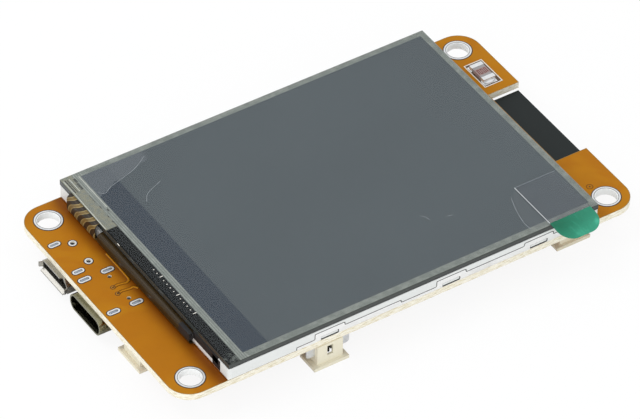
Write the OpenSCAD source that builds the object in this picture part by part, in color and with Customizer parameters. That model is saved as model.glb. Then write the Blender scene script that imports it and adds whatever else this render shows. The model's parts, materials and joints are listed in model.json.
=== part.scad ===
// TFT touch display on its carrier board. Millimetres, +Z up on the display side.
// The origin is the centre of the four mounting holes, on the underside of the board.
// +X runs to the antenna end, -X to the end with the USB sockets, -Y is the near long side.

/* [Board] */
// Length of the board past the display at each end
end_margin = 8.4; // [8:0.1:10]
// How far the display overhangs the board's long edges
overhang = 0.3; // [0:0.05:0.5]
// Thickness of the carrier board
board_t = 1.2; // [0.8:0.1:2]
// Radius of the board's corners
board_corner_r = 4; // [2:0.1:5]
// Distance of the mounting holes from the board's ends
hole_inset = 4; // [3.8:0.1:4.6]
// Distance of the mounting holes from the board's long edges
hole_inset_y = 3.7; // [3.6:0.1:4.6]
// Diameter of the mounting holes
hole_d = 3.6; // [3:0.1:4]
// Width of the tinned ring round each mounting hole
hole_ring_w = 0.4; // [0.2:0.05:0.6]
// Gap between a hole's wall and its tinned ring
hole_ring_gap = 0.1; // [0.05:0.05:0.2]
// Thickness of the tinned lands on the board
land_t = 0.04; // [0.03:0.01:0.1]
// Width of the tinned rim round the leg slots and locating holes
land_rim = 0.25; // [0.15:0.05:0.35]
// Clearance round a leg or a peg in the board
leg_gap = 0.1; // [0.05:0.01:0.15]

/* [Display] */
// Length of the display over its frame, along X
lcd_l = 69.2; // [67:0.1:71]
// Width of the display over its frame, along Y
lcd_w = 50; // [48:0.1:50.4]
// Thickness of the tape between the display and the board
tape_t = 0.2; // [0.15:0.05:0.5]
// Inset of the tape from the display's outline
tape_inset = 2; // [1:0.1:6]
// Length of the tape-free stretch for the folded flexes at the USB end
flex_bay_l = 13; // [12:0.5:16]
// Border between the display's long sides and its active area
active_side = 3.4; // [3.1:0.1:4]
// Border between the display's USB end and its active area
active_usb = 7.9; // [7.7:0.1:8.5]
// Border between the display's antenna end and its active area
active_antenna = 3.7; // [3.5:0.1:4.5]

/* [Back shell and frame] */
// Thickness of the back shell's steel sheet
shell_t = 0.2; // [0.15:0.01:0.25]
// Clearance between the shell's walls and the frame
shell_gap = 0.05; // [0.03:0.01:0.1]
// Height of the shell's side wall where it is lowest
wall_low = 0.75; // [0.6:0.05:0.85]
// Height of the shell's side wall between the tabs
wall_mid = 1.25; // [1:0.05:1.4]
// Height of the shell's snap tabs
wall_tab = 1.85; // [1.6:0.05:1.95]
// Width of a snap tab
tab_w = 5.5; // [4.6:0.1:6]
// Width of the window in a snap tab
window_w = 3.3; // [2.6:0.1:3.8]
// Height of the window in a snap tab
window_h = 0.7; // [0.5:0.05:0.8]
// Clearance round a latch bump in its window
bump_gap = 0.12; // [0.08:0.01:0.16]
// Distance of a long side's first snap tab from the display's USB end
tab_1 = 18.5; // [17:0.1:20]
// Distance of a long side's second snap tab from the display's antenna end
tab_2 = 28.1; // [26:0.1:30]
// Distance of a long side's third snap tab from the display's antenna end
tab_3 = 11.5; // [10:0.1:13]
// Distance of the end wall's tabs from the middle
end_tab_y = 14; // [10:0.5:18]
// Stretch at the USB end where the long sides have no steel wall
wall_start = 12.4; // [11.5:0.1:13]
// Distance of the shell's walls from the display's corners
corner_gap = 1.2; // [1:0.1:2]
// Place of the step from middle to low wall, as a share of the way from the first tab to the second
low_step = 0.584; // [0.5:0.01:0.7]
// Radius of the frame's upright corners
frame_corner_r = 0.6; // [0.3:0.1:1]
// Wall of the frame beside the display cell
frame_wall = 0.8; // [0.6:0.05:1]
// Length of the full-height frame corners at the USB end
frame_corner_l = 3; // [2:0.1:3.5]

/* [Light stack] */
// Inset of the light sheets from the display's outline on the long sides
sheet_inset = 2.4; // [2:0.1:3]
// Inset of the light guide from the display's outline at the USB end
guide_start = 4.1; // [3.9:0.1:4.6]
// Thickness of the reflector sheet
reflector_t = 0.1; // [0.05:0.01:0.15]
// Thickness of the light guide
guide_t = 0.65; // [0.5:0.05:0.8]
// Thickness of the diffuser sheet
diffuser_t = 0.1; // [0.05:0.01:0.15]
// Thickness of each prism sheet
prism_t = 0.1; // [0.05:0.01:0.15]
// Clearance round the light sheets
sheet_gap = 0.1; // [0.05:0.01:0.2]
// Thickness of the light-blocking tape
block_tape_t = 0.05; // [0.04:0.01:0.1]
// Number of lamps on the backlight strip
lamp_n = 4; // [3:1:6]
// Length of a lamp, along Y
lamp_l = 3; // [2:0.1:4]
// Depth of a lamp, along X
lamp_d = 0.8; // [0.6:0.05:0.9]
// Distance between lamps
lamp_pitch = 9; // [7:0.5:10]

/* [Display cell] */
// Thickness of a polariser
polariser_t = 0.12; // [0.1:0.01:0.2]
// Thickness of the TFT glass
tft_t = 0.4; // [0.3:0.05:0.6]
// Thickness of the colour filter glass
filter_t = 0.4; // [0.3:0.05:0.6]
// Clearance round the cell in the frame
cell_gap = 0.1; // [0.05:0.01:0.2]
// Width of the TFT glass's bare ledge, which carries the driver chip
ledge_w = 2.7; // [2.5:0.1:3.2]
// Inset of the polarisers from the glass
polariser_inset = 0.35; // [0.2:0.05:0.6]
// Length of the driver chip, along Y
driver_l = 18; // [14:0.5:20]
// Width of the driver chip, along X
driver_w = 0.9; // [0.7:0.05:1]
// Thickness of the driver chip
driver_t = 0.3; // [0.2:0.05:0.35]

/* [Flexes] */
// Thickness of the display flex
flex_t = 0.1; // [0.08:0.01:0.12]
// Distance of the display flex from the frame's near corner
flex_near = 7.2; // [6:0.1:9]
// Length of the display flex's bond on the glass
flex_bond = 0.9; // [0.7:0.05:1]
// Length of the flex's run under the display
flex_run = 10; // [6:0.5:11]
// Clearance between the folded flexes and the frame's end
flex_gap = 0.05; // [0.03:0.01:0.2]
// Outer radius of the folds, which is also how far a flex stands out
fold_r = 0.75; // [0.6:0.05:1]
// Width of the touch panel's tail, along Y
tail_w = 8.4; // [6:0.1:9]
// Gap between the tail and the display flex, and between the tail and the frame's far corner
tail_gap = 0.7; // [0.4:0.1:1]
// Length of the tail's bond inside the touch panel
tail_bond = 2.4; // [1.5:0.1:3]

/* [Touch panel] */
// Inset of the touch panel from the display's outline
touch_inset = 0.1; // [0.05:0.05:0.4]
// Thickness of the touch panel's adhesive gasket
gasket_t = 0.16; // [0.1:0.01:0.3]
// Width of the adhesive gasket's sides
gasket_w = 1.2; // [1:0.1:1.6]
// Thickness of the touch glass
touch_glass_t = 0.6; // [0.5:0.05:1.1]
// Thickness of the touch film
touch_film_t = 0.2; // [0.18:0.01:0.3]
// Thickness of the protective film
cover_film_t = 0.08; // [0.05:0.01:0.1]
// Inset of the protective film from the touch panel's edge
cover_film_inset = 0.2; // [0.1:0.05:0.6]

/* [Pull tab] */
// Width of the pull tab, along X
pull_w = 7.7; // [6:0.1:8]
// Length of the pull tab's clear tape on the film
pull_tape_l = 9.8; // [8:0.1:12]
// Thickness of the pull tab
pull_t = 0.1; // [0.08:0.01:0.15]
// Distance of the pull tab from the display's antenna end
pull_inset = 1.6; // [1:0.1:3]
// How far the green grip reaches past the film
grip_l = 4.4; // [3:0.1:6]
// Radius of the grip's droop
grip_bend_r = 14; // [10:0.5:30]
// Corner radius of the grip at its outer end
grip_corner_r = 2.6; // [1:0.1:2.9]

/* [Wi-Fi module] */
// Length of the module's board, along X
module_l = 25.5; // [24:0.1:27]
// Width of the module's board, along Y
module_w = 18; // [16.6:0.1:18.4]
// Thickness of the module's board
module_t = 0.8; // [0.6:0.05:1]
// Distance of the module's antenna end from the board's edge
module_inset = 0.4; // [0:0.1:1]
// Place along Y of the module's middle
module_y = -0.3; // [-0.6:0.1:0.4]
// Length of the module's bare antenna end
antenna_l = 6.2; // [5.6:0.1:6.6]
// Depth of the notch in the board over the antenna
notch_l = 6; // [5:0.1:7]
// Clearance of the notch on each side of the module
notch_gap = 0.5; // [0.2:0.1:1]
// Height of the shield can
can_h = 2.3; // [1.8:0.1:2.6]
// Inset of the shield can from the module's long edges
can_inset = 1.1; // [0.9:0.05:1.3]
// Wall of the shield can
can_t = 0.2; // [0.15:0.01:0.3]
// Pitch of the module's edge pads
edge_pad_pitch = 1.27; // [1.2:0.01:1.3]
// Radius of the module's half-round edge pads
edge_pad_r = 0.3; // [0.2:0.05:0.35]

/* [USB-C socket] */
// Place along Y of the USB-C socket's middle
usb_c_y = 1.95; // [1.8:0.05:2.4]
// How far the USB-C socket stands past the board's edge
usb_c_reach = 0.9; // [0.3:0.1:1.5]
// Width of the USB-C shell
usb_c_w = 8.94; // [8.9:0.01:9]
// Height of the USB-C shell
usb_c_h = 3.16; // [3.1:0.01:3.26]
// Length of the USB-C shell
usb_c_l = 7.35; // [7:0.05:7.6]
// Wall of the USB-C shell
usb_c_wall = 0.3; // [0.25:0.01:0.32]
// Width of the USB-C tongue
usb_c_tongue_w = 6.69; // [6.6:0.01:6.75]
// Thickness of the USB-C tongue
usb_c_tongue_t = 0.7; // [0.65:0.01:0.75]
// Distance of the front legs from the USB-C mouth
usb_c_leg_x = 2.6; // [2.4:0.05:2.8]
// Distance between front and rear legs
usb_c_leg_pitch = 4.18; // [4:0.01:4.25]

/* [Micro-USB socket] */
// Place along Y of the micro-USB socket's middle
micro_y = 12; // [11.8:0.05:12.4]
// How far the micro-USB mouth stands past the board's edge
micro_reach = 0.9; // [0.4:0.1:1.3]
// Width of the micro-USB shell at its wide side
micro_w = 7.5; // [7.3:0.05:7.6]
// Height of the micro-USB shell
micro_h = 2.5; // [2.4:0.05:2.8]
// Length of the micro-USB shell behind its lips
micro_l = 5; // [4.8:0.05:5.6]
// Wall of the micro-USB shell
micro_wall = 0.25; // [0.2:0.01:0.3]
// Slant of the shell's lower corners
micro_slant = 1.1; // [0.9:0.05:1.3]
// Length of the flared lips at the mouth
micro_lip_l = 0.6; // [0.4:0.05:0.8]
// How far the lips flare out
micro_lip_flare = 0.25; // [0.2:0.05:0.45]

/* [Pin headers] */
// Pitch of the header contacts
pin_pitch = 1.25; // [1.2:0.01:1.3]
// Height of a header over the board
header_h = 4.3; // [4.1:0.05:4.9]
// Depth of a header's rim
rim_d = 4.2; // [3.9:0.05:4.4]
// Thickness of a header's rim
rim_t = 0.6; // [0.4:0.05:0.8]
// How far the rim stands past the body on each side
rim_step = 0.85; // [0.6:0.05:1]
// How far the rim stands past the body at front and back
rim_step_d = 0.6; // [0.4:0.05:0.7]
// Wall of a header's body at its ends
header_wall = 0.25; // [0.2:0.01:0.35]
// Wall of a header's body at front and back
header_wall_d = 0.4; // [0.3:0.05:0.5]
// Thickness of a header's floor
header_floor = 1; // [0.8:0.05:1.2]
// Thickness of a contact
pin_t = 0.3; // [0.25:0.01:0.35]
// Length of a contact's solder tail behind the body
pin_tail = 1.1; // [0.8:0.05:1.4]
// How far a solder nail stands out from the body's end
nail_w = 1.6; // [1.2:0.05:1.7]
// Height of a solder nail
nail_h = 2.2; // [1.6:0.05:2.4]
// Place along Y of the power header's middle
power_y = -8.25; // [-9:0.05:-8]
// Inset of the power header's rim from the board's USB end
power_inset = 0.8; // [0.5:0.1:1.5]
// Distance of the io header's middle from the board's USB end
io_x = 27.1; // [26:0.1:28]
// How far the io header's rim stands past the board's near edge
io_reach = 0.8; // [0:0.1:1]
// Distance of the sensor header's middle from the board's antenna end
sensor_header_x = 11.2; // [10.5:0.1:12]
// Inset of the sensor header's rim from the board's near edge
sensor_header_inset = 2; // [1.5:0.1:3]
// Distance of the speaker header's middle from the board's antenna end
speaker_x = 33; // [32.5:0.1:34]
// Inset of the speaker header's rim from the board's far edge
speaker_inset = 0.2; // [0:0.1:0.8]

/* [Card slot] */
// Width of the card slot, along X
slot_w = 14.2; // [13.8:0.1:14.6]
// Depth of the card slot, along Y
slot_d = 14.6; // [14:0.1:15.2]
// Height of the card slot
slot_h = 1.85; // [1.7:0.05:2]
// Thickness of the slot's base
slot_floor = 0.5; // [0.4:0.05:0.6]
// Sheet thickness of the slot's cover
slot_sheet = 0.2; // [0.15:0.01:0.25]
// Inset of the slot's mouth from the board's near edge
slot_inset = 1.6; // [1:0.1:2]
// Gap between the slot and the wireless module's end
slot_gap = 1.4; // [1:0.1:3]

/* [Light sensor] */
// Length of the light sensor, along Y
sensor_l = 4.2; // [3.8:0.1:5.2]
// Width of the light sensor, along X
sensor_w = 2.2; // [1.8:0.1:2.8]
// Thickness of the light sensor's ceramic
sensor_t = 0.7; // [0.5:0.05:1]
// Distance of the sensor's middle from the board's antenna end
sensor_inset = 4; // [3.6:0.05:4.2]
// Distance of the sensor's middle from the board's far edge
sensor_far = 10.8; // [10:0.1:11.5]
// Length of the sensor's metal end caps
sensor_cap_l = 0.8; // [0.5:0.05:1]
// Wall of the sensor's metal end caps
sensor_cap_t = 0.06; // [0.04:0.01:0.1]

/* [Switches] */
// Length of a switch, along X
switch_l = 4; // [3.8:0.1:4.4]
// Width of a switch, along Y
switch_w = 3; // [2.8:0.1:3.4]
// Height of a switch's base
switch_h = 1.3; // [1.2:0.05:1.5]
// Sheet thickness of a switch's cover
switch_sheet = 0.15; // [0.1:0.01:0.2]
// Diameter of a button
button_d = 1.9; // [1.6:0.05:2]
// Clearance between a button and its cover's hole
button_gap = 0.1; // [0.06:0.01:0.15]
// How far a button stands out of its cover
button_out = 0.5; // [0.4:0.05:0.7]
// Travel of a button
button_travel = 0.25; // [0.2:0.01:0.3]
// Distance of the boot switch's middle from the board's USB end
boot_x = 12; // [10.5:0.1:13]
// Distance of the reset switch's middle from the board's USB end
reset_x = 21; // [19:0.1:22]
// Distance of the switches' middles from the board's far edge
switch_far = 3.6; // [3:0.1:4]

/* [Hidden] */

// Roundness of true circles
$fn = 48;
// Overshoot of a cut past the face it opens
cut = 0.5;

// Heights of the display stack, from the board's top face up
z_shell = board_t + tape_t;
z_floor = z_shell + shell_t;
z_guide = z_floor + reflector_t;
z_diffuser = z_guide + guide_t;
z_lower_prism = z_diffuser + diffuser_t;
z_upper_prism = z_lower_prism + prism_t;
z_block_tape = z_upper_prism + prism_t;
z_rear_polariser = z_block_tape + block_tape_t;
z_tft = z_rear_polariser + polariser_t;
z_filter = z_tft + tft_t;
z_front_polariser = z_filter + filter_t;
z_frame_top = z_front_polariser + polariser_t;
z_touch_glass = z_frame_top + gasket_t;
z_touch_film = z_touch_glass + touch_glass_t;
z_cover_film = z_touch_film + touch_film_t;
z_pull = z_cover_film + cover_film_t;

// Board's outline, drawn from the display's
board_l = lcd_l + 2 * end_margin;
board_w = lcd_w - 2 * overhang;

// Outlines shared by the display's pieces
cell_l = lcd_l - 2 * frame_wall - 2 * cell_gap;
cell_w = lcd_w - 2 * frame_wall - 2 * cell_gap;
cell_x0 = -cell_l / 2;
filter_l = cell_l - ledge_w;
sheet_w = lcd_w - 2 * sheet_inset;
sheet_x0 = -lcd_l / 2 + guide_start;
sheet_x1 = lcd_l / 2 - sheet_inset;
sheet_l = sheet_x1 - sheet_x0;
lamp_bay = lamp_d + 2 * sheet_gap + 0.5;
touch_l = lcd_l - 2 * touch_inset;
touch_w = lcd_w - 2 * touch_inset;
cover_l = touch_l - 2 * cover_film_inset;
cover_w = touch_w - 2 * cover_film_inset;

// Places of the folded flexes: the tail keeps its gap from the frame's far corner and from the flex
x_fold = -lcd_l / 2 - flex_gap;
tail_far = lcd_w / 2 - frame_corner_l - tail_gap;
tail_y = tail_far - tail_w / 2;
flex_far_y = tail_far - tail_w - tail_gap;
flex_near_y = -lcd_w / 2 + frame_corner_l + flex_near;
flex_w = flex_far_y - flex_near_y;
flex_y = (flex_far_y + flex_near_y) / 2;

// Edges of the board
usb_edge = -board_l / 2;
antenna_edge = board_l / 2;
near_edge = -board_w / 2;
far_edge = board_w / 2;
// Ends of the display
lcd_usb = -lcd_l / 2;
lcd_antenna = lcd_l / 2;
hole_x = board_l / 2 - hole_inset;
hole_y = board_w / 2 - hole_inset_y;
hole_places = [[hole_x, hole_y], [-hole_x, hole_y], [-hole_x, -hole_y], [hole_x, -hole_y]];

// A box given by its low corner and its size
module slab(at, size) {
    translate(at)
        cube(size);
}

// A flat plate centred on [x, y], from z up
module plate(l, w, t, z, x = 0, y = 0) {
    translate([x - l / 2, y - w / 2, z])
        cube([l, w, t]);
}

// A rectangle with round corners
module rounded_outline(l, w, r) {
    square([l - 2 * r, w], center = true);
    square([l, w - 2 * r], center = true);
    for (sx = [-1, 1], sy = [-1, 1])
        translate([sx * (l / 2 - r), sy * (w / 2 - r)])
            circle(r);
}

// A flat ring plate: an outer rectangle less an inner one
module ring_plate(outer, inner, t, z) {
    difference() {
        plate(outer[0], outer[1], t, z);
        translate([inner[2], 0, 0])
            plate(inner[0], inner[1], t + 2 * cut, z - cut);
    }
}

// A slot outline along X with round ends
module slot_outline(l, w) {
    square([l - w, w], center = true);
    for (s = [-1, 1])
        translate([s * (l - w) / 2, 0])
            circle(d = w);
}

// An outline in X and Z, made w thick along Y about y
module upright(w, y = 0) {
    translate([0, y + w / 2, 0])
        rotate([90, 0, 0])
            linear_extrude(w)
                children();
}

// An outline in Y and Z, made l long along X from x
module along_x(l, x) {
    translate([x, 0, 0])
        rotate([90, 0, 90])
            linear_extrude(l)
                children();
}

// ---- Board ----

// Mouths and legs of the two USB sockets
usb_c_mouth = usb_edge - usb_c_reach;
usb_c_legs_x = [usb_c_mouth + usb_c_leg_x, usb_c_mouth + usb_c_leg_x + usb_c_leg_pitch];
usb_c_leg_y = (usb_c_w - usb_c_wall) / 2;
usb_c_leg_l = 1.2;
usb_c_peg_d = 0.5;
usb_c_peg_x = usb_c_legs_x[1] - 0.5;
usb_c_peg_y = 2.89;
micro_mouth = usb_edge - micro_reach;
micro_leg_x = micro_mouth + 2.75;
micro_leg_y = (micro_w - micro_wall) / 2;
micro_leg_l = 1.1;
micro_peg_d = 0.6;
micro_peg_x = micro_mouth + 5.35;
micro_peg_y = 2.425;
// How far a leg or a peg ends below the board's top face
leg_low = 0.15;

// Places of the leg slots: [x, y, leg length, leg thickness]
leg_slots = concat(
    [for (x = usb_c_legs_x, s = [-1, 1]) [x, usb_c_y + s * usb_c_leg_y, usb_c_leg_l, usb_c_wall]],
    [for (s = [-1, 1]) [micro_leg_x, micro_y + s * micro_leg_y, micro_leg_l, micro_wall]]
);

// The slot that one leg passes through, grown all round by rim
module leg_slot(leg, rim) {
    translate([leg[0], leg[1]])
        slot_outline(leg[2] + leg[3] + 2 * leg_gap + 2 * rim, leg[3] + 2 * leg_gap + 2 * rim);
}

// Centres of the pegs of a socket
function peg_places(x, y, dy) = [for (s = [-1, 1]) [x, y + s * dy]];
usb_c_pegs = peg_places(usb_c_peg_x, usb_c_y, usb_c_peg_y);
micro_pegs = peg_places(micro_peg_x, micro_y, micro_peg_y);

// Round outlines of one diameter at a list of places
module rounds(places, d) {
    for (p = places)
        translate([p[0], p[1]])
            circle(d = d);
}

module main_board() {
    notch_w = module_w + 2 * notch_gap;
    color("#bf7a1c")
        difference() {
            linear_extrude(board_t)
                rounded_outline(board_l, board_w, board_corner_r);
            translate([0, 0, -cut])
                linear_extrude(board_t + 2 * cut) {
                    rounds(hole_places, hole_d);
                    rounds(usb_c_pegs, usb_c_peg_d + 2 * leg_gap);
                    rounds(micro_pegs, micro_peg_d + 2 * leg_gap);
                    for (leg = leg_slots)
                        leg_slot(leg, 0);
                    translate([antenna_edge - notch_l, module_y - notch_w / 2])
                        square([notch_l + cut, notch_w]);
                }
        }
}

module tinned_lands() {
    ring_d = hole_d + 2 * hole_ring_gap;
    color("#d8d9da") {
        for (z = [board_t, -land_t])
            translate([0, 0, z])
                linear_extrude(land_t)
                    difference() {
                        rounds(hole_places, ring_d + 2 * hole_ring_w);
                        rounds(hole_places, ring_d);
                    }
        translate([0, 0, board_t])
            linear_extrude(land_t)
                difference() {
                    union() {
                        rounds(micro_pegs, micro_peg_d + 2 * leg_gap + 2 * land_rim);
                        for (leg = leg_slots)
                            leg_slot(leg, land_rim);
                    }
                    rounds(micro_pegs, micro_peg_d + 2 * leg_gap);
                    for (leg = leg_slots)
                        leg_slot(leg, 0);
                }
    }
}

module mounting_tape() {
    x0 = lcd_usb + flex_bay_l;
    color("#e6e4d8")
        slab([x0, -lcd_w / 2 + tape_inset, board_t], [lcd_antenna - tape_inset - x0, lcd_w - 2 * tape_inset, tape_t]);
}

// ---- Back shell and frame ----

// The shell's walls as lists of [place, height], from each place to the next
tab_x1 = lcd_usb + tab_1;
tab_x2 = lcd_antenna - tab_2;
tab_x3 = lcd_antenna - tab_3;
low_step_x = tab_x1 + low_step * (tab_x2 - tab_x1);
long_steps = [
    [lcd_usb + wall_start, wall_low],
    [tab_x1 - tab_w / 2, wall_tab],
    [tab_x1 + tab_w / 2, wall_mid],
    [low_step_x, wall_low],
    [tab_x2 - tab_w / 2, wall_tab],
    [tab_x2 + tab_w / 2, wall_mid],
    [tab_x3 - tab_w / 2, wall_tab],
    [tab_x3 + tab_w / 2, wall_mid]
];
long_end = lcd_antenna - corner_gap;
long_tabs = [tab_x1, tab_x2, tab_x3];
end_steps = [
    [-lcd_w / 2 + corner_gap, wall_mid],
    [-end_tab_y - tab_w / 2, wall_tab],
    [-end_tab_y + tab_w / 2, wall_mid],
    [end_tab_y - tab_w / 2, wall_tab],
    [end_tab_y + tab_w / 2, wall_mid]
];
end_end = lcd_w / 2 - corner_gap;
end_tabs = [-end_tab_y, end_tab_y];

// Outline of a stepped wall, grown by g at its steps and its top
function step_side(steps, i) = i == 0 || steps[i][1] > steps[max(i - 1, 0)][1] ? -1 : 1;
function stepped(steps, end, g) = concat(
    [[steps[0][0] - g, 0]],
    [for (i = [0:len(steps) - 1], k = [max(i - 1, 0), i])
        [steps[i][0] + step_side(steps, i) * g, steps[k][1] + g]],
    [[end + g, steps[len(steps) - 1][1] + g], [end + g, 0]]
);

// A folded wall along X: its outer face is at y = 0, and its rounded fold laps into the shell's floor
module folded_wall(steps, end, tabs) {
    x0 = steps[0][0];
    translate([0, 0, z_shell]) {
        difference() {
            upright(shell_t, shell_t / 2)
                polygon(stepped(steps, end, 0));
            slab([x0 - cut, -cut, -cut], [end - x0 + 2 * cut, shell_t + 2 * cut, shell_t + cut]);
            for (x = tabs)
                slab([x - window_w / 2, -cut, 0], [window_w, shell_t + 2 * cut, shell_t + window_h]);
        }
        along_x(end - x0, x0)
            intersection() {
                square([2 * shell_t, shell_t]);
                union() {
                    translate([shell_t, shell_t])
                        circle(shell_t);
                    translate([shell_t, 0])
                        square(shell_t);
                }
            }
    }
}

module lcd_back_shell() {
    color("#c9cbcc") {
        slab([lcd_usb, -lcd_w / 2 + shell_t, z_shell], [lcd_l - shell_t, lcd_w - 2 * shell_t, shell_t]);
        for (side = [0, 1])
            mirror([0, side, 0])
                translate([0, -lcd_w / 2, 0])
                    folded_wall(long_steps, long_end, long_tabs);
        translate([lcd_antenna, 0, 0])
            rotate([0, 0, 90])
                folded_wall(end_steps, end_end, end_tabs);
    }
}

// What the frame loses to a folded wall: its outline with clearance, less the latch bumps.
// A bump is sloped below, where the tab rides over it, and square above, where the window holds it.
module wall_recess(steps, end, tabs) {
    depth = shell_t + shell_gap;
    bump_z0 = shell_t + bump_gap;
    bump_z1 = shell_t + window_h - bump_gap;
    translate([0, 0, z_shell])
        difference() {
            upright(depth + cut, (depth - cut) / 2)
                polygon(stepped(steps, end, shell_gap));
            for (x = tabs)
                along_x(window_w - 2 * bump_gap, x - window_w / 2 + bump_gap)
                    polygon([
                        [depth + cut, bump_z0],
                        [depth, bump_z0],
                        [shell_gap, bump_z0 + shell_t / 2],
                        [shell_gap, bump_z1],
                        [depth + cut, bump_z1]
                    ]);
        }
}

module lcd_frame() {
    light_x0 = sheet_x0 - lamp_bay;
    exit_w = lcd_w - 2 * frame_corner_l;
    exit_z = z_filter - sheet_gap;
    color("#ecebe6")
        difference() {
            translate([0, 0, z_floor])
                linear_extrude(z_frame_top - z_floor)
                    rounded_outline(lcd_l, lcd_w, frame_corner_r);
            for (side = [0, 1])
                mirror([0, side, 0])
                    translate([0, -lcd_w / 2, 0])
                        wall_recess(long_steps, long_end, long_tabs);
            translate([lcd_antenna, 0, 0])
                rotate([0, 0, 90])
                    wall_recess(end_steps, end_end, end_tabs);
            slab(
                [light_x0, -sheet_w / 2 - sheet_gap, z_floor - cut],
                [sheet_x1 + sheet_gap - light_x0, sheet_w + 2 * sheet_gap, z_block_tape - z_floor + 2 * cut]
            );
            plate(cell_l + 2 * cell_gap, cell_w + 2 * cell_gap, z_frame_top - z_block_tape + cut, z_block_tape);
            slab([lcd_usb - cut, -exit_w / 2, exit_z], [frame_wall + 2 * cut, exit_w, z_frame_top - exit_z + cut]);
        }
}

// ---- Light stack ----

// One sheet of the light stack, over the whole guide
module light_sheet(t, z) {
    slab([sheet_x0, -sheet_w / 2, z], [sheet_l, sheet_w, t]);
}

module reflector_sheet() {
    color("#f4f6f7")
        light_sheet(reflector_t, z_floor);
}

module light_guide() {
    color("#e8f0f4")
        light_sheet(guide_t, z_guide);
}

module diffuser_sheet() {
    color("#fafafa")
        light_sheet(diffuser_t, z_diffuser);
}

module lower_prism_sheet() {
    color("#dfe7ee")
        light_sheet(prism_t, z_lower_prism);
}

module upper_prism_sheet() {
    color("#d5dfe9")
        light_sheet(prism_t, z_upper_prism);
}

module backlight_strip() {
    strip_l = lamp_n * lamp_pitch;
    x0 = sheet_x0 - lamp_bay + sheet_gap;
    color("#f0efe8")
        slab([x0, -strip_l / 2, z_floor], [sheet_x0 - sheet_gap - x0, strip_l, reflector_t]);
}

module backlight_lamps() {
    color("#f3e9b0")
        for (i = [0:lamp_n - 1]) {
            y = (i - (lamp_n - 1) / 2) * lamp_pitch;
            slab([sheet_x0 - sheet_gap - lamp_d, y - lamp_l / 2, z_guide], [lamp_d, lamp_l, guide_t]);
        }
}

module light_block_tape() {
    // The tape stops short of the active area all round
    lap = 0.5;
    active_l = lcd_l - active_usb - active_antenna;
    active_w = lcd_w - 2 * active_side;
    color("#151618")
        ring_plate(
            [cell_l - 2 * polariser_inset, cell_w - 2 * polariser_inset],
            [active_l + 2 * lap, active_w + 2 * lap, (active_usb - active_antenna) / 2],
            block_tape_t, z_block_tape
        );
}

// ---- Display cell ----

module rear_polariser() {
    color("#3a4046")
        plate(cell_l - 2 * polariser_inset, cell_w - 2 * polariser_inset, polariser_t, z_rear_polariser);
}

module tft_glass() {
    color("#8fa2a8")
        plate(cell_l, cell_w, tft_t, z_tft);
}

module colour_filter_glass() {
    color("#5c666c")
        plate(filter_l, cell_w, filter_t, z_filter, ledge_w / 2);
}

module front_polariser() {
    color("#5d666c")
        plate(
            filter_l - 2 * polariser_inset, cell_w - 2 * polariser_inset,
            polariser_t, z_front_polariser, ledge_w / 2
        );
}

module driver_chip() {
    color("#20242a")
        plate(
            driver_w, driver_l, driver_t, z_filter,
            cell_x0 + flex_bond + sheet_gap + (ledge_w - flex_bond - sheet_gap) / 2, flex_y
        );
}

// ---- Folded flexes ----

// A quarter of a fold: an arc of outer radius r at -X and -Y of its centre
module fold_corner(r, t) {
    difference() {
        intersection() {
            circle(r);
            translate([-r, -r])
                square(r);
        }
        circle(r - t);
    }
}

// A flex strip folded round the display's end: it lies on z_top to x_top, turns down past x_fold
// by fold_r and runs back on z_low to x_low
module folded_strip(w, y, t, x_top, x_fold, x_low, z_top, z_low) {
    z_bend_top = z_top + t - fold_r;
    z_bend_low = z_low + fold_r;
    upright(w, y) {
        translate([x_fold, z_top])
            square([x_top - x_fold, t]);
        translate([x_fold, z_low])
            square([x_low - x_fold, t]);
        translate([x_fold - fold_r, z_bend_low])
            square([t, z_bend_top - z_bend_low]);
        translate([x_fold, z_bend_low])
            fold_corner(fold_r, t);
        translate([x_fold, z_bend_top])
            mirror([0, 1])
                fold_corner(fold_r, t);
    }
}

module display_flex() {
    color("#6b5a2c")
        folded_strip(
            flex_w, flex_y, flex_t, cell_x0 + flex_bond, x_fold, x_fold + flex_run, z_filter, board_t
        );
}

module touch_tail() {
    color("#8a6f3a")
        folded_strip(
            tail_w, tail_y, flex_t, -touch_l / 2 + tail_bond, x_fold, x_fold + flex_run, z_touch_film, board_t
        );
}

// ---- Touch panel ----

module touch_gasket() {
    usb_w = flex_bond + gasket_w;
    inner_l = touch_l - usb_w - gasket_w;
    color("#23262a")
        ring_plate(
            [touch_l, touch_w],
            [inner_l, touch_w - 2 * gasket_w, (usb_w - gasket_w) / 2],
            gasket_t, z_frame_top
        );
}

module touch_glass() {
    color([0.62, 0.68, 0.70, 0.5])
        plate(touch_l, touch_w, touch_glass_t, z_touch_glass);
}

module touch_film() {
    color([0.60, 0.66, 0.69, 0.5])
        difference() {
            plate(touch_l, touch_w, touch_film_t, z_touch_film);
            slab(
                [-touch_l / 2 - cut, tail_y - tail_w / 2 - flex_gap, z_touch_film - cut],
                [tail_bond + flex_gap + cut, tail_w + 2 * flex_gap, flex_t + cut]
            );
        }
}

module protective_film() {
    color([0.75, 0.80, 0.82, 0.3])
        plate(cover_l, cover_w, cover_film_t, z_cover_film);
}

// ---- Pull tab ----

pull_x0 = lcd_antenna - pull_inset - pull_w;
pull_y0 = -cover_w / 2;

module pull_tab_tape() {
    color([0.85, 0.88, 0.88, 0.4])
        slab([pull_x0, pull_y0, z_pull], [pull_w, pull_tape_l, pull_t]);
}

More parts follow.
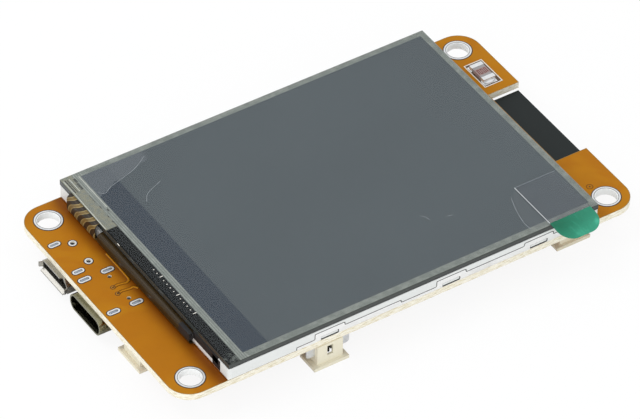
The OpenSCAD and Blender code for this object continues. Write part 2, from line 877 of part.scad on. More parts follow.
module pull_tab_grip() {
    color("#1d8a63")
        intersection() {
            translate([pull_x0 + pull_w / 2, pull_y0, z_pull - grip_bend_r])
                linear_extrude(grip_bend_r + 2 * pull_t)
                    intersection() {
                        rounded_outline(pull_w, 2 * grip_l, grip_corner_r);
                        translate([-pull_w / 2, -grip_l])
                            square([pull_w, grip_l]);
                    }
            along_x(pull_w, pull_x0)
                difference() {
                    translate([pull_y0, z_pull - grip_bend_r])
                        circle(grip_bend_r + pull_t);
                    translate([pull_y0, z_pull - grip_bend_r])
                        circle(grip_bend_r);
                }
        }
}

// ---- Light sensor ----

sensor_x = antenna_edge - sensor_inset;
sensor_y = far_edge - sensor_far;

module light_sensor() {
    color("#9b9a94")
        plate(sensor_w, sensor_l - 2 * sensor_cap_t, sensor_t, board_t + sensor_cap_t, sensor_x, sensor_y);
}

module light_sensor_caps() {
    color("#d3d4d3")
        difference() {
            for (s = [-1, 1])
                plate(
                    sensor_w + 2 * sensor_cap_t, sensor_cap_l, sensor_t + 2 * sensor_cap_t,
                    board_t, sensor_x, sensor_y + s * (sensor_l - sensor_cap_l) / 2
                );
            plate(sensor_w, sensor_l - 2 * sensor_cap_t, sensor_t, board_t + sensor_cap_t, sensor_x, sensor_y);
        }
}

// ---- Wi-Fi module ----

module_x1 = antenna_edge - module_inset;
module_x0 = module_x1 - module_l;

module module_board() {
    pads_x0 = module_x0 + 1.5;
    pads_n = floor((module_l - antenna_l - 1.8) / edge_pad_pitch) + 1;
    end_pads = 10;
    color("#202326")
        difference() {
            plate(module_l, module_w, module_t, -module_t, module_x0 + module_l / 2, module_y);
            translate([0, 0, -module_t - cut])
                linear_extrude(module_t + 2 * cut) {
                    for (i = [0:pads_n - 1], s = [-1, 1])
                        translate([pads_x0 + i * edge_pad_pitch, module_y + s * module_w / 2])
                            circle(edge_pad_r);
                    for (i = [0:end_pads - 1])
                        translate([module_x0, module_y + (i - (end_pads - 1) / 2) * edge_pad_pitch])
                            circle(edge_pad_r);
                }
        }
}

module module_shield_can() {
    can_x0 = module_x0 + 0.9;
    can_l = module_l - antenna_l - 1.3;
    can_w = module_w - 2 * can_inset;
    can_r = 0.8;
    color("#c4c6c7")
        translate([can_x0 + can_l / 2, module_y, -module_t - can_h])
            difference() {
                linear_extrude(can_h)
                    rounded_outline(can_l, can_w, can_r);
                translate([0, 0, can_t])
                    linear_extrude(can_h)
                        rounded_outline(can_l - 2 * can_t, can_w - 2 * can_t, can_r - can_t);
            }
}

// ---- USB-C socket ----

usb_c_block_l = 1.7;
usb_c_back = usb_c_mouth + usb_c_l;
usb_c_mid_z = -usb_c_h / 2;
usb_c_tongue_tip = 0.9;
shell_fit = 0.02;

// Outline of the USB-C shell in Y and Z, less an inset all round
module usb_c_outline(inset) {
    translate([usb_c_y, usb_c_mid_z])
        rounded_outline(usb_c_w - 2 * inset, usb_c_h - 2 * inset, usb_c_h / 2 - 0.18 - inset);
}

// Pegs of a socket's moulding, from low up through the board
module pegs(places, d, low) {
    translate([0, 0, low])
        linear_extrude(board_t - leg_low - low)
            rounds(places, d);
}

module usb_c_shell() {
    color("#b9bbbd") {
        difference() {
            along_x(usb_c_l, usb_c_mouth)
                difference() {
                    usb_c_outline(0);
                    usb_c_outline(usb_c_wall);
                }
            pegs(usb_c_pegs, usb_c_peg_d + 2 * leg_gap, usb_c_mid_z);
        }
        for (x = usb_c_legs_x, s = [-1, 1])
            plate(
                usb_c_leg_l, usb_c_wall, board_t - leg_low - usb_c_mid_z, usb_c_mid_z,
                x, usb_c_y + s * usb_c_leg_y
            );
    }
}

// Contact blades in a row, along X: from the tongue's tip back, up to the board and out
module contact_row(n, pitch, w, y, blade, x0, back, tail) {
    blade_t = 0.1;
    for (i = [0:n - 1])
        upright(w, y + (i - (n - 1) / 2) * pitch) {
            translate([x0, blade])
                square([back - x0 + blade_t, blade_t]);
            translate([back, blade])
                square([blade_t, -blade]);
            translate([back, -blade_t])
                square([tail, blade_t]);
        }
}

module usb_c_contacts() {
    tip = usb_c_mouth + usb_c_tongue_tip + 0.7;
    blade_z = usb_c_mid_z + usb_c_tongue_t / 2 - 0.08;
    lower_z = usb_c_mid_z - usb_c_tongue_t / 2 - 0.02;
    color("#c9a64e") {
        contact_row(12, 0.5, 0.25, usb_c_y, blade_z, tip, usb_c_back, 0.6);
        contact_row(12, 0.5, 0.25, usb_c_y, lower_z, tip, usb_c_back + 0.75, 0.6);
    }
}

module usb_c_tongue() {
    tip = usb_c_mouth + usb_c_tongue_tip;
    block_x = usb_c_back - usb_c_block_l;
    color("#2a2c2f")
        difference() {
            union() {
                along_x(usb_c_block_l, block_x)
                    usb_c_outline(usb_c_wall + shell_fit);
                slab(
                    [tip, usb_c_y - usb_c_tongue_w / 2, usb_c_mid_z - usb_c_tongue_t / 2],
                    [block_x - tip, usb_c_tongue_w, usb_c_tongue_t]
                );
                pegs(usb_c_pegs, usb_c_peg_d, usb_c_mid_z);
            }
            usb_c_contacts();
        }
}

// ---- Micro-USB socket ----

micro_front = micro_mouth + micro_lip_l;
micro_back = micro_front + micro_l;
micro_block_l = 1.3;
micro_tongue_z = -1.45;
micro_tongue_t = 0.6;
micro_tongue_w = 3.7;

// Outline of the micro-USB shell in Y and Z: narrow at the board, less an inset all round
module micro_outline(inset) {
    slant = micro_slant - inset * (2 - sqrt(2));
    half = micro_w / 2 - inset;
    translate([micro_y, 0])
        polygon([
            [-half, -micro_h + inset],
            [half, -micro_h + inset],
            [half, -inset - slant],
            [half - slant, -inset],
            [-half + slant, -inset],
            [-half, -inset - slant]
        ]);
}

// A flared lip as an outline across its width: it grows out of the shell's wall and opens outwards
module lip_outline() {
    root = 0.3;
    polygon([
        [micro_front + root, 0],
        [micro_front + root, -micro_wall],
        [micro_front, -micro_wall],
        [micro_mouth, micro_lip_flare - micro_wall],
        [micro_mouth, micro_lip_flare],
        [micro_front, 0]
    ]);
}

module micro_usb_shell() {
    top_w = micro_w - 2 * micro_slant - 0.4;
    bottom_w = micro_w - 0.8;
    side_h = micro_h - micro_slant - 0.5;
    color("#bfc1c2") {
        difference() {
            along_x(micro_l, micro_front)
                difference() {
                    micro_outline(0);
                    micro_outline(micro_wall);
                }
            pegs(micro_pegs, micro_peg_d + 2 * leg_gap, -micro_h / 2);
        }
        upright(top_w, micro_y)
            lip_outline();
        translate([0, 0, -micro_h])
            upright(bottom_w, micro_y)
                mirror([0, 1])
                    lip_outline();
        for (side = [0, 1])
            translate([0, micro_y, -micro_h + 0.3])
                mirror([0, side, 0])
                    translate([0, micro_w / 2, 0])
                        linear_extrude(side_h)
                            lip_outline();
        for (s = [-1, 1])
            plate(
                micro_leg_l, micro_wall, board_t - leg_low + micro_h / 2, -micro_h / 2,
                micro_leg_x, micro_y + s * micro_leg_y
            );
    }
}

module micro_usb_contacts() {
    color("#c9a64e")
        contact_row(
            5, 0.65, 0.35, micro_y, micro_tongue_z - 0.03,
            micro_mouth + 1.8, micro_back, 0.8
        );
}

module micro_usb_tongue() {
    tip = micro_mouth + 1.3;
    block_x = micro_back - micro_block_l;
    color("#2a2c2f")
        difference() {
            union() {
                along_x(micro_block_l, block_x)
                    micro_outline(micro_wall + shell_fit);
                slab(
                    [tip, micro_y - micro_tongue_w / 2, micro_tongue_z],
                    [block_x - tip, micro_tongue_w, micro_tongue_t]
                );
                pegs(micro_pegs, micro_peg_d, -micro_h / 2);
            }
            micro_usb_contacts();
        }
}

// ---- Pin headers ----

// Places of the headers: [contacts, x, y, turn]; each one's front is turned to the board's edge
power_place = [4, usb_edge + power_inset + rim_d / 2, power_y, -90];
io_place = [4, usb_edge + io_x, near_edge - io_reach + rim_d / 2, 0];
sensor_place = [4, antenna_edge - sensor_header_x, near_edge + sensor_header_inset + rim_d / 2, 0];
speaker_place = [2, antenna_edge - speaker_x, far_edge - speaker_inset - rim_d / 2, 180];
header_places = [power_place, io_place, sensor_place, speaker_place];

// Sizes of a header with n contacts
function cavity_length(n) = (n - 1) * pin_pitch + pin_t + 0.15;
function body_length(n) = cavity_length(n) + 2 * header_wall;
body_d = rim_d - 2 * rim_step_d;

// Puts a header's pieces at its place, with its front at -Y before the turn
module at_header(place) {
    translate([place[1], place[2], 0])
        rotate([0, 0, place[3]])
            children();
}

// Contacts of a header: a blade in the mouth and a solder tail out of the back
module contacts(n) {
    blade_low = header_h - 1;
    for (i = [0:n - 1])
        translate([(i - (n - 1) / 2) * pin_pitch, 0, 0]) {
            slab([-pin_t / 2, -pin_t / 2, -blade_low], [pin_t, pin_t, blade_low]);
            slab([-pin_t / 2, -pin_t / 2, -pin_t], [pin_t, body_d / 2 + pin_tail + pin_t / 2, pin_t]);
        }
}

// Moulded body of a header, mouth down, with a step round its mouth and a window in front
module header_body(n) {
    cavity_l = cavity_length(n);
    body_l = body_length(n);
    cavity_d = body_d - 2 * header_wall_d;
    window = [1.05, 1.9];
    key_w = 0.5;
    difference() {
        union() {
            plate(body_l, body_d, header_h - rim_t, -header_h + rim_t);
            plate(body_l + 2 * rim_step, rim_d, rim_t, -header_h);
        }
        plate(cavity_l, cavity_d, header_h - header_floor + cut, -header_h - cut);
        slab([-window[0] / 2, -body_d / 2 - cut, -2.4], [window[0], header_wall_d + 2 * cut, window[1]]);
        for (s = [-1, 1])
            slab(
                [s * (cavity_l / 2 - key_w) - key_w / 2, cavity_d / 2 - cut, -header_h - cut],
                [key_w, 2 * cut, header_h - header_floor + cut]
            );
        contacts(n);
    }
}

// One solder nail at each end of a header's body
module nails(n) {
    round_r = 0.6;
    y0 = -body_d / 2 + 0.7;
    foot_d = 1.8;
    for (side = [0, 1])
        mirror([side, 0, 0])
            translate([body_length(n) / 2, y0, 0]) {
                upright(pin_t, pin_t / 2) {
                    translate([0, -nail_h])
                        square([nail_w - round_r, nail_h]);
                    translate([0, -nail_h + round_r])
                        square([nail_w, nail_h - round_r]);
                    translate([nail_w - round_r, -nail_h + round_r])
                        circle(round_r);
                }
                slab([0, 0, -pin_t], [nail_w, foot_d, pin_t]);
            }
}

module header(place) {
    color("#e4e1d2")
        at_header(place)
            header_body(place[0]);
}

module power_header() {
    header(power_place);
}

module io_header() {
    header(io_place);
}

module sensor_header() {
    header(sensor_place);
}

module speaker_header() {
    header(speaker_place);
}

module header_contacts() {
    color("#cfc9a8")
        for (place = header_places)
            at_header(place)
                contacts(place[0]);
}

module header_nails() {
    color("#d6d7d6")
        for (place = header_places)
            at_header(place)
                nails(place[0]);
}

// ---- Card slot ----

card_w = 11.1;
slot_wall_d = 1.4;
slot_x = module_x0 - slot_gap - slot_w / 2;
slot_mouth = near_edge + slot_inset;
slot_back = slot_mouth + slot_d;

module card_slot_contacts() {
    spring_t = 0.15;
    spring_w = 0.7;
    spring_pitch = 1.1;
    spring_z = -slot_floor - spring_t;
    spring_n = 8;
    tip = 5;
    tail = 1;
    color("#c9a64e")
        for (i = [0:spring_n - 1])
            translate([slot_x + (i - (spring_n - 1) / 2) * spring_pitch - spring_w / 2, 0, 0]) {
                slab([0, slot_mouth + tip, spring_z], [spring_w, slot_d - tip + spring_t, spring_t]);
                slab([0, slot_back, spring_z], [spring_w, spring_t, -spring_z]);
                slab([0, slot_back, -spring_t], [spring_w, tail, spring_t]);
            }
}

module card_slot_base() {
    inner_w = slot_w - 2 * slot_sheet;
    color("#26282b")
        difference() {
            plate(inner_w, slot_d, slot_h - slot_sheet, -slot_h + slot_sheet, slot_x, slot_mouth + slot_d / 2);
            slab(
                [slot_x - card_w / 2, slot_mouth - cut, -slot_h],
                [card_w, slot_d - slot_wall_d + cut, slot_h - slot_floor]
            );
            card_slot_contacts();
        }
}

module card_slot_cover() {
    thumb_r = 3;
    skirt_z = -0.25;
    // Openings over the card: [distance from the middle, distance from the mouth, width, length]
    opening = [3.6, 8, 1.8, 3.2];
    color("#c2c4c5")
        difference() {
            plate(slot_w, slot_d, slot_h + skirt_z, -slot_h, slot_x, slot_mouth + slot_d / 2);
            plate(
                slot_w - 2 * slot_sheet, slot_d + 2 * cut, slot_h, -slot_h + slot_sheet,
                slot_x, slot_mouth + slot_d / 2
            );
            translate([slot_x, slot_mouth, -slot_h - cut])
                cylinder(h = slot_sheet + 2 * cut, r = thumb_r);
            for (s = [-1, 1])
                slab(
                    [slot_x + s * opening[0] - opening[2] / 2, slot_mouth + opening[1], -slot_h - cut],
                    [opening[2], opening[3], slot_sheet + 2 * cut]
                );
        }
}

// ---- Switches ----

button_lip = 0.25;
button_lip_t = 0.25;
button_play = 0.03;
button_nub = 0.1;
boot_place = [usb_edge + boot_x, far_edge - switch_far];
reset_place = [usb_edge + reset_x, far_edge - switch_far];

// The base has a pocket that leaves the button its travel
module switch_base(place) {
    pocket_h = button_play + button_lip_t + button_nub + button_travel + 0.1;
    color("#232527")
        translate([place[0], place[1], 0])
            difference() {
                plate(switch_l, switch_w, switch_h, -switch_h);
                translate([0, 0, -switch_h - cut])
                    cylinder(h = pocket_h + cut, d = button_d + 2 * button_lip + 2 * button_gap);
            }
}

module switch_cover(place) {
    ear_w = 1.6;
    ear_low = 0.4;
    color("#c6c8c9")
        translate([place[0], place[1], -switch_h - switch_sheet]) {
            difference() {
                plate(switch_l, switch_w, switch_sheet, 0);
                translate([0, 0, -cut])
                    cylinder(h = switch_sheet + 2 * cut, d = button_d + 2 * button_gap);
            }
            for (s = [-1, 1])
                plate(ear_w, switch_sheet, switch_h + switch_sheet - ear_low, 0, 0, s * (switch_w + switch_sheet) / 2);
        }
}

module button(place) {
    tip_z = -switch_h - switch_sheet - button_out;
    lip_z = -switch_h + button_play;
    color("#e9e7df")
        translate([place[0], place[1], 0]) {
            translate([0, 0, tip_z])
                cylinder(h = lip_z + button_lip_t - tip_z, d = button_d);
            translate([0, 0, lip_z])
                cylinder(h = button_lip_t, d = button_d + 2 * button_lip);
            translate([0, 0, lip_z])
                cylinder(h = button_lip_t + button_nub, d = button_d / 2);
        }
}

module boot_switch_base() {
    switch_base(boot_place);
}

module boot_switch_cover() {
    switch_cover(boot_place);
}

module boot_button() {
    button(boot_place);
}

module reset_switch_base() {
    switch_base(reset_place);
}

module reset_switch_cover() {
    switch_cover(reset_place);
}

module reset_button() {
    button(reset_place);
}

module switch_terminals() {
    foot = [0.9, 0.8, 0.15];
    color("#d6d7d6")
        for (place = [boot_place, reset_place], s = [-1, 1])
            plate(foot[0], foot[1], foot[2], -foot[2], place[0] + s * (switch_l + foot[0]) / 2, place[1]);
}

// ---- Chips on the underside ----

// A moulded chip body along X, with its draft, and bent leads along both sides
// size: [length, width, height, span over the leads]; leads: [number, pitch, width] per side
module chip(place, turn, size, near_leads, far_leads) {
    standoff = 0.1;
    draft = 0.12;
    mid = -size[2] / 2;
    lead_t = 0.15;
    half = size[1] / 2;
    reach = size[3] / 2;
    knee = half + (reach - half) * 0.4;
    translate([place[0], place[1], 0])
        rotate([0, 0, turn]) {
            along_x(size[0], -size[0] / 2)
                polygon([
                    [-half + draft, -size[2]],
                    [half - draft, -size[2]],
                    [half, mid],
                    [half - draft, -standoff],
                    [-half + draft, -standoff],
                    [-half, mid]
                ]);
            for (side = [[0, far_leads], [1, near_leads]])
                mirror([0, side[0], 0])
                    for (i = [0:side[1][0] - 1])
                        along_x(side[1][2], (i - (side[1][0] - 1) / 2) * side[1][1] - side[1][2] / 2)
                            polygon([
                                [half - draft, mid - lead_t / 2],
                                [knee + lead_t, mid - lead_t / 2],
                                [knee + lead_t, -lead_t],
                                [reach, -lead_t],
                                [reach, 0],
                                [knee, 0],
                                [knee, mid + lead_t / 2],
                                [half - draft, mid + lead_t / 2]
                            ]);
        }
}

// Usual packages: body and span as for a chip, then the leads of each side
wide_16 = [[9.9, 3.9, 1.5, 6], [8, 1.27, 0.4]];
wide_8 = [[4.9, 3.9, 1.5, 6], [4, 1.27, 0.4]];
fine_16 = [[5, 4.4, 1, 6.4], [8, 0.65, 0.25]];
tab_4 = [[6.5, 3.5, 1.6, 7], [3, 2.3, 0.7], [1, 0, 3]];
small_3 = [[2.9, 1.3, 1, 2.4], [2, 1.9, 0.4], [1, 0, 0.4]];

// Places of the chips, from the board's ends and long edges
serial_place = [usb_edge + 14, usb_c_y + 1.05];
regulator_place = [usb_edge + 12, near_edge + 15.7];
touch_chip_place = [-6, far_edge - 18.7];
amplifier_place = [antenna_edge - speaker_x, far_edge - 10.2];
transistor_y = far_edge - 10.7;
transistor_pitch = 6;
transistors_x = -8;

module usb_serial_chip() {
    color("#1f2124")
        chip(serial_place, 90, wide_16[0], wide_16[1], wide_16[1]);
}

module regulator() {
    color("#1f2124")
        chip(regulator_place, 0, tab_4[0], tab_4[1], tab_4[2]);
}

module touch_controller() {
    color("#1f2124")
        chip(touch_chip_place, 0, fine_16[0], fine_16[1], fine_16[1]);
}

module audio_amplifier() {
    color("#1f2124")
        chip(amplifier_place, 90, wide_8[0], wide_8[1], wide_8[1]);
}

module small_transistors() {
    color("#1f2124")
        for (i = [-1, 0, 1])
            chip([transistors_x + i * transistor_pitch, transistor_y], 0, small_3[0], small_3[1], small_3[2]);
}

module rgb_lamp() {
    size = [3.5, 2.8, 1.9];
    cup_d = 2.3;
    cup_h = 0.5;
    foot = [0.25, 0.8, 0.6];
    foot_y = 0.8;
    place = [antenna_edge - 13, far_edge - 7.7, 0];
    color("#f0efe9")
        translate(place) {
            difference() {
                plate(size[0], size[1], size[2], -size[2]);
                translate([0, 0, -size[2] - cut])
                    cylinder(h = cup_h + cut, d = cup_d);
            }
            for (sx = [-1, 1], sy = [-1, 1])
                plate(foot[0], foot[1], foot[2], -foot[2], sx * (size[0] + foot[0]) / 2, sy * foot_y);
        }
}

// Rows of chip parts: [x, y, number, step along X, step along Y, turn]
resistor_rows = [
    [-14, far_edge - 6.7, 6, 2.4, 0, 90],
    [-11, far_edge - 13.7, 5, 2.4, 0, 0],
    [usb_edge + 19, near_edge + 8.7, 5, 2, 0, 90],
    [usb_edge + 21, usb_c_y + 6, 4, 0, -2.2, 0],
    [usb_edge + 27, usb_c_y, 4, 0, -2.2, 0],
    [antenna_edge - 21, far_edge - 12.7, 4, 1.8, 0, 90]
];
capacitor_rows = [
    [module_x0 - 2.5, slot_back + 2.5, 6, 0, 2.2, 0],
    [usb_edge + 19, near_edge + 18.2, 3, 0, -2.6, 0],
    [antenna_edge - 28, far_edge - 11.7, 3, 1.8, 0, 90],
    [-6, far_edge - 24.7, 3, 2.2, 0, 90],
    [2, far_edge - 18.7, 3, 0, 2.2, 0]
];

// The chip parts' outline, and the height of each kind
chip_part_l = 1.6;
chip_part_w = 0.8;
resistor_h = 0.45;
capacitor_h = 0.8;

// Rectangular chip parts in rows, each of height h
module chip_rows(rows, h) {
    for (row = rows, i = [0:row[2] - 1])
        translate([row[0] + i * row[3], row[1] + i * row[4], 0])
            rotate([0, 0, row[5]])
                plate(chip_part_l, chip_part_w, h, -h);
}

module chip_resistors() {
    color("#2b2c2e")
        chip_rows(resistor_rows, resistor_h);
}

module chip_capacitors() {
    color("#a88d63")
        chip_rows(capacitor_rows, capacitor_h);
}

// ---- Pieces ----

main_board();
tinned_lands();
mounting_tape();
lcd_back_shell();
lcd_frame();
reflector_sheet();
light_guide();
diffuser_sheet();
lower_prism_sheet();
upper_prism_sheet();
backlight_strip();
backlight_lamps();
light_block_tape();
rear_polariser();
tft_glass();
colour_filter_glass();
front_polariser();
driver_chip();
display_flex();
touch_gasket();
touch_glass();
touch_film();
touch_tail();
protective_film();
pull_tab_tape();
pull_tab_grip();
light_sensor();
light_sensor_caps();
module_board();
module_shield_can();
usb_c_shell();
usb_c_tongue();
usb_c_contacts();
micro_usb_shell();
micro_usb_tongue();
micro_usb_contacts();
power_header();
io_header();
sensor_header();
speaker_header();
header_contacts();
header_nails();
card_slot_base();
card_slot_cover();
card_slot_contacts();
boot_switch_base();
boot_switch_cover();
boot_button();
reset_switch_base();
reset_switch_cover();
reset_button();
switch_terminals();
rgb_lamp();
usb_serial_chip();
regulator();
touch_controller();
audio_amplifier();
chip_resistors();
chip_capacitors();
small_transistors();
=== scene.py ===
"""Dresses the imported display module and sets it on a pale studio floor.

The solids come from the frame and stay as they are. This script gives each one
its finish and adds what is too fine for the solids: copper tracks, printed
boxes, solder, seams, the marks in the touch panel and the scuffs in its film.
"""

from __future__ import annotations

import json
import logging
import math
from dataclasses import dataclass, field
from enum import Enum
from typing import Callable, Iterable, Mapping, Sequence

import bmesh
import bpy
from mathutils import Matrix, Vector

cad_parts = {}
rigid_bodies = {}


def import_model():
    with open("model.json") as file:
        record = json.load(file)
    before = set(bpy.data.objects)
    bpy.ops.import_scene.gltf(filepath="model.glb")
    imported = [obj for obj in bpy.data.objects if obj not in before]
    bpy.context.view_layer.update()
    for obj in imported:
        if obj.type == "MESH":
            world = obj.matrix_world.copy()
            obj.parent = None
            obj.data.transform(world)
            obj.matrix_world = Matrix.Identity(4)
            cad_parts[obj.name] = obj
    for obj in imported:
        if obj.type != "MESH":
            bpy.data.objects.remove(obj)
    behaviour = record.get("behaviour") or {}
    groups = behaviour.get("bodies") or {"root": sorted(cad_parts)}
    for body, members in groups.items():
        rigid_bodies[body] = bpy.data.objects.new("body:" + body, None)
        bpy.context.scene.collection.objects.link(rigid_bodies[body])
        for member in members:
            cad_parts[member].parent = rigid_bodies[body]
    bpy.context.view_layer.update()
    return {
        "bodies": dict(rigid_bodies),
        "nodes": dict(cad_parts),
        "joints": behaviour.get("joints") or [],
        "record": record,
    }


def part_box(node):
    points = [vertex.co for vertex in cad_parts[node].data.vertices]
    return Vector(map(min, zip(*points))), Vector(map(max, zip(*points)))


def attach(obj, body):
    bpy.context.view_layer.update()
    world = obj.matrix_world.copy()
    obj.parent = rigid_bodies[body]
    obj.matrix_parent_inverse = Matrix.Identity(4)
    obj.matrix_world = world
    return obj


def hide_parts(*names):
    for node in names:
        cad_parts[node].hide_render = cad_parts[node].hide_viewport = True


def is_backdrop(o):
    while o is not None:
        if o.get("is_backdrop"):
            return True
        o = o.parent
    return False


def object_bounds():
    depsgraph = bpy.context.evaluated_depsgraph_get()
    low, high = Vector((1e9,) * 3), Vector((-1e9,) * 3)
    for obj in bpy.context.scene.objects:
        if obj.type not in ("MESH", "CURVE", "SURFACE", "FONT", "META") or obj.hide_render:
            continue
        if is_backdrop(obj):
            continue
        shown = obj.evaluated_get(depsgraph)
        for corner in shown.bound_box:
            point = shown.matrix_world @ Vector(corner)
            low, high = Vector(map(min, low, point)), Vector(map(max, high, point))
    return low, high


MM = 0.001
# Points of a mesh that lie this close together are one point
JOIN = 0.001 * MM
CARRIER = "display_board"
LOG = logging.getLogger("display_module")

Tone = tuple[float, float, float]
Point2 = tuple[float, float]
Size3 = tuple[float, float, float]
Bar = tuple[float, float, float, float]
Material = bpy.types.Material
Node = bpy.types.Node
Piece = bpy.types.Object
Socket = bpy.types.NodeSocket
Values = Mapping[str | int, object]


def tone(red: float, green: float, blue: float) -> Tone:
    """Turns a colour as it is seen into linear light.

    Args:
        red, green, blue: The seen colour, 0 to 255.

    Returns:
        The same colour in linear light, 0 to 1.
    """
    shares = [channel / 255 for channel in (red, green, blue)]
    return tuple(
        share / 12.92 if share <= 0.04045 else ((share + 0.055) / 1.055) ** 2.4 for share in shares
    )


# ---- Shader maths ----


def find_socket(sockets: Sequence[Socket], key: str | int) -> Socket:
    """Finds a node's socket.

    Args:
        sockets: The node's inputs or outputs.
        key: The socket's identifier, its name or its number.

    Returns:
        The socket.
    """
    if isinstance(key, int):
        return sockets[key]
    for label in ("identifier", "name"):
        for socket in sockets:
            if getattr(socket, label) == key:
                return socket
    raise KeyError(key)


def operation(name: str, swapped: bool = False) -> Callable[..., "Value"]:
    """Makes a method of Value that adds one Math node.

    Args:
        name: The node's operation.
        swapped: Whether a plain number comes before the value.

    Returns:
        The method.
    """

    def method(value: "Value", *others: "Value | float") -> "Value":
        """Works the operation on the value and the other terms."""
        return value.sheet.math(name, *((*others, value) if swapped else (value, *others)))

    return method


class Value:
    """A number that changes over a surface, and takes part in arithmetic."""

    def __init__(self, sheet: "ShaderSheet", socket: Socket) -> None:
        """Wraps a socket that gives a number."""
        self.sheet = sheet
        self.socket = socket

    __add__ = operation("ADD")
    __radd__ = operation("ADD", True)
    __sub__ = operation("SUBTRACT")
    __rsub__ = operation("SUBTRACT", True)
    __mul__ = operation("MULTIPLY")
    __rmul__ = operation("MULTIPLY", True)
    __abs__ = operation("ABSOLUTE")
    wave = operation("SINE")
    root = operation("SQRT")
    most = operation("MAXIMUM")

    def rise(self, low: float, high: float) -> "Value":
        """Runs smoothly from 0 at low to 1 at high."""
        ramp = self.sheet.node(
            "ShaderNodeMapRange",
            {"interpolation_type": "SMOOTHSTEP"},
            {"Value": self, "From Min": low, "From Max": high, "To Min": 0.0, "To Max": 1.0},
        )
        return Value(self.sheet, ramp.outputs[0])

    def fall(self, low: float, high: float) -> "Value":
        """Runs smoothly from 1 at low to 0 at high."""
        return 1 - self.rise(low, high)

    def between(self, low: float, high: float, soft: float) -> "Value":
        """Is 1 from low to high, with soft edges of the given width."""
        half = soft / 2
        return self.rise(low - half, low + half) * self.fall(high - half, high + half)


@dataclass
class Spot:
    """A surface point's place on its piece: the vector, and its parts in millimetres."""

    vector: Socket
    x: Value
    y: Value
    z: Value

    def reach(self, centre: Point2) -> Value:
        """Gives the level distance from a centre, in millimetres."""
        dx, dy = self.x - centre[0], self.y - centre[1]
        return (dx * dx + dy * dy).root()


class NodeSheet:
    """A node tree with a short way to add to it."""

    def __init__(self, tree: bpy.types.NodeTree) -> None:
        """Takes the tree."""
        self.tree = tree

    def node(
        self,
        kind: str,
        settings: Mapping[str, object] | None = None,
        values: Values | None = None,
    ) -> Node:
        """Adds a node.

        Args:
            kind: The node's type name.
            settings: Properties that are set first, such as an operation.
            values: A number, colour or link for each named socket.

        Returns:
            The new node.
        """
        made = self.tree.nodes.new(kind)
        for name, setting in (settings or {}).items():
            setattr(made, name, setting)
        for key, value in (values or {}).items():
            socket = find_socket(made.inputs, key)
            link = value.socket if isinstance(value, Value) else value
            if isinstance(link, Socket):
                self.tree.links.new(link, socket)
            elif isinstance(value, tuple) and len(value) == 3 and socket.type == "RGBA":
                socket.default_value = (*value, 1.0)
            else:
                socket.default_value = value
        return made


class ShaderSheet(NodeSheet):
    """The node tree of a material or of the world."""

    def __init__(self, tree: bpy.types.NodeTree) -> None:
        """Starts on an empty tree."""
        super().__init__(tree)
        tree.nodes.clear()

    @classmethod
    def for_material(cls, name: str) -> tuple["ShaderSheet", Material]:
        """Makes a material and its empty tree."""
        material = bpy.data.materials.new(name)
        material.use_nodes = True
        return cls(material.node_tree), material

    def math(self, kind: str, *terms: Value | float) -> Value:
        """Adds a Math node on the given terms."""
        made = self.node("ShaderNodeMath", {"operation": kind}, dict(enumerate(terms)))
        return Value(self, made.outputs[0])

    def spot(self) -> Spot:
        """Gives the surface point's place on its piece."""
        place = self.node("ShaderNodeTexCoord").outputs["Object"]
        parts = self.node("ShaderNodeSeparateXYZ", values={0: place})
        return Spot(place, *(Value(self, parts.outputs[i]) * (1 / MM) for i in range(3)))

    def stretched(self, spot: Spot, factors: Tone) -> Socket:
        """Gives the place with each axis scaled, for streaks."""
        scaled = self.node(
            "ShaderNodeVectorMath", {"operation": "MULTIPLY"}, {0: spot.vector, 1: factors}
        )
        return scaled.outputs["Vector"]

    def noise(
        self, place: Spot | Socket, size: float, detail: float, warp: float = 0.0
    ) -> Value:
        """Gives a soft random value, mostly 0.2 to 0.8.

        Args:
            place: The place that the pattern follows.
            size: Size of one blotch, in metres.
            detail: How many finer layers it has.
            warp: How far the pattern is bent.

        Returns:
            The value.
        """
        place = place.vector if isinstance(place, Spot) else place
        values = {"Vector": place, "Scale": 1 / size, "Detail": detail, "Distortion": warp}
        return Value(self, self.node("ShaderNodeTexNoise", values=values).outputs[0])

    def mix(self, share: Value | float, first: object, second: object) -> Socket:
        """Mixes two colours: the first where share is 0, the second where it is 1."""
        made = self.node(
            "ShaderNodeMix",
            {"data_type": "RGBA", "clamp_factor": True},
            {"Factor_Float": share, "A_Color": first, "B_Color": second},
        )
        return find_socket(made.outputs, "Result_Color")

    def shade(self, colour: object, factor: Value) -> Socket:
        """Makes a colour lighter or darker over the surface."""
        values = {0: colour, "Scale": factor}
        return self.node("ShaderNodeVectorMath", {"operation": "SCALE"}, values).outputs["Vector"]

    def relief(self, height: Value, depth: float, under: Socket | None = None) -> Socket:
        """Gives a normal that follows a height of the given depth in metres."""
        values = {"Height": height, "Distance": depth, "Strength": 1.0}
        if under is not None:
            values["Normal"] = under
        return self.node("ShaderNodeBump", values=values).outputs["Normal"]


# ---- Finishes ----


@dataclass(frozen=True)
class Finish:
    """The recipe of one named material."""

    name: str

    def make(self) -> Material:
        """Builds the material."""
        sheet, material = ShaderSheet.for_material(self.name)
        shader = sheet.node("ShaderNodeBsdfPrincipled", values=self.paint(sheet, sheet.spot()))
        sheet.node("ShaderNodeOutputMaterial", values={"Surface": shader.outputs[0]})
        return material

    def paint(self, sheet: ShaderSheet, spot: Spot) -> Values:
        """Gives what each socket of the shader takes.

        Args:
            sheet: The material's tree.
            spot: The surface point.

        Returns:
            A number, colour or link for each named socket.
        """
        raise NotImplementedError


class Run(Enum):
    """The axis that a brushed or rolled sheet's streaks run along."""

    X = (0.05, 1.0, 1.0)
    Y = (1.0, 0.05, 1.0)


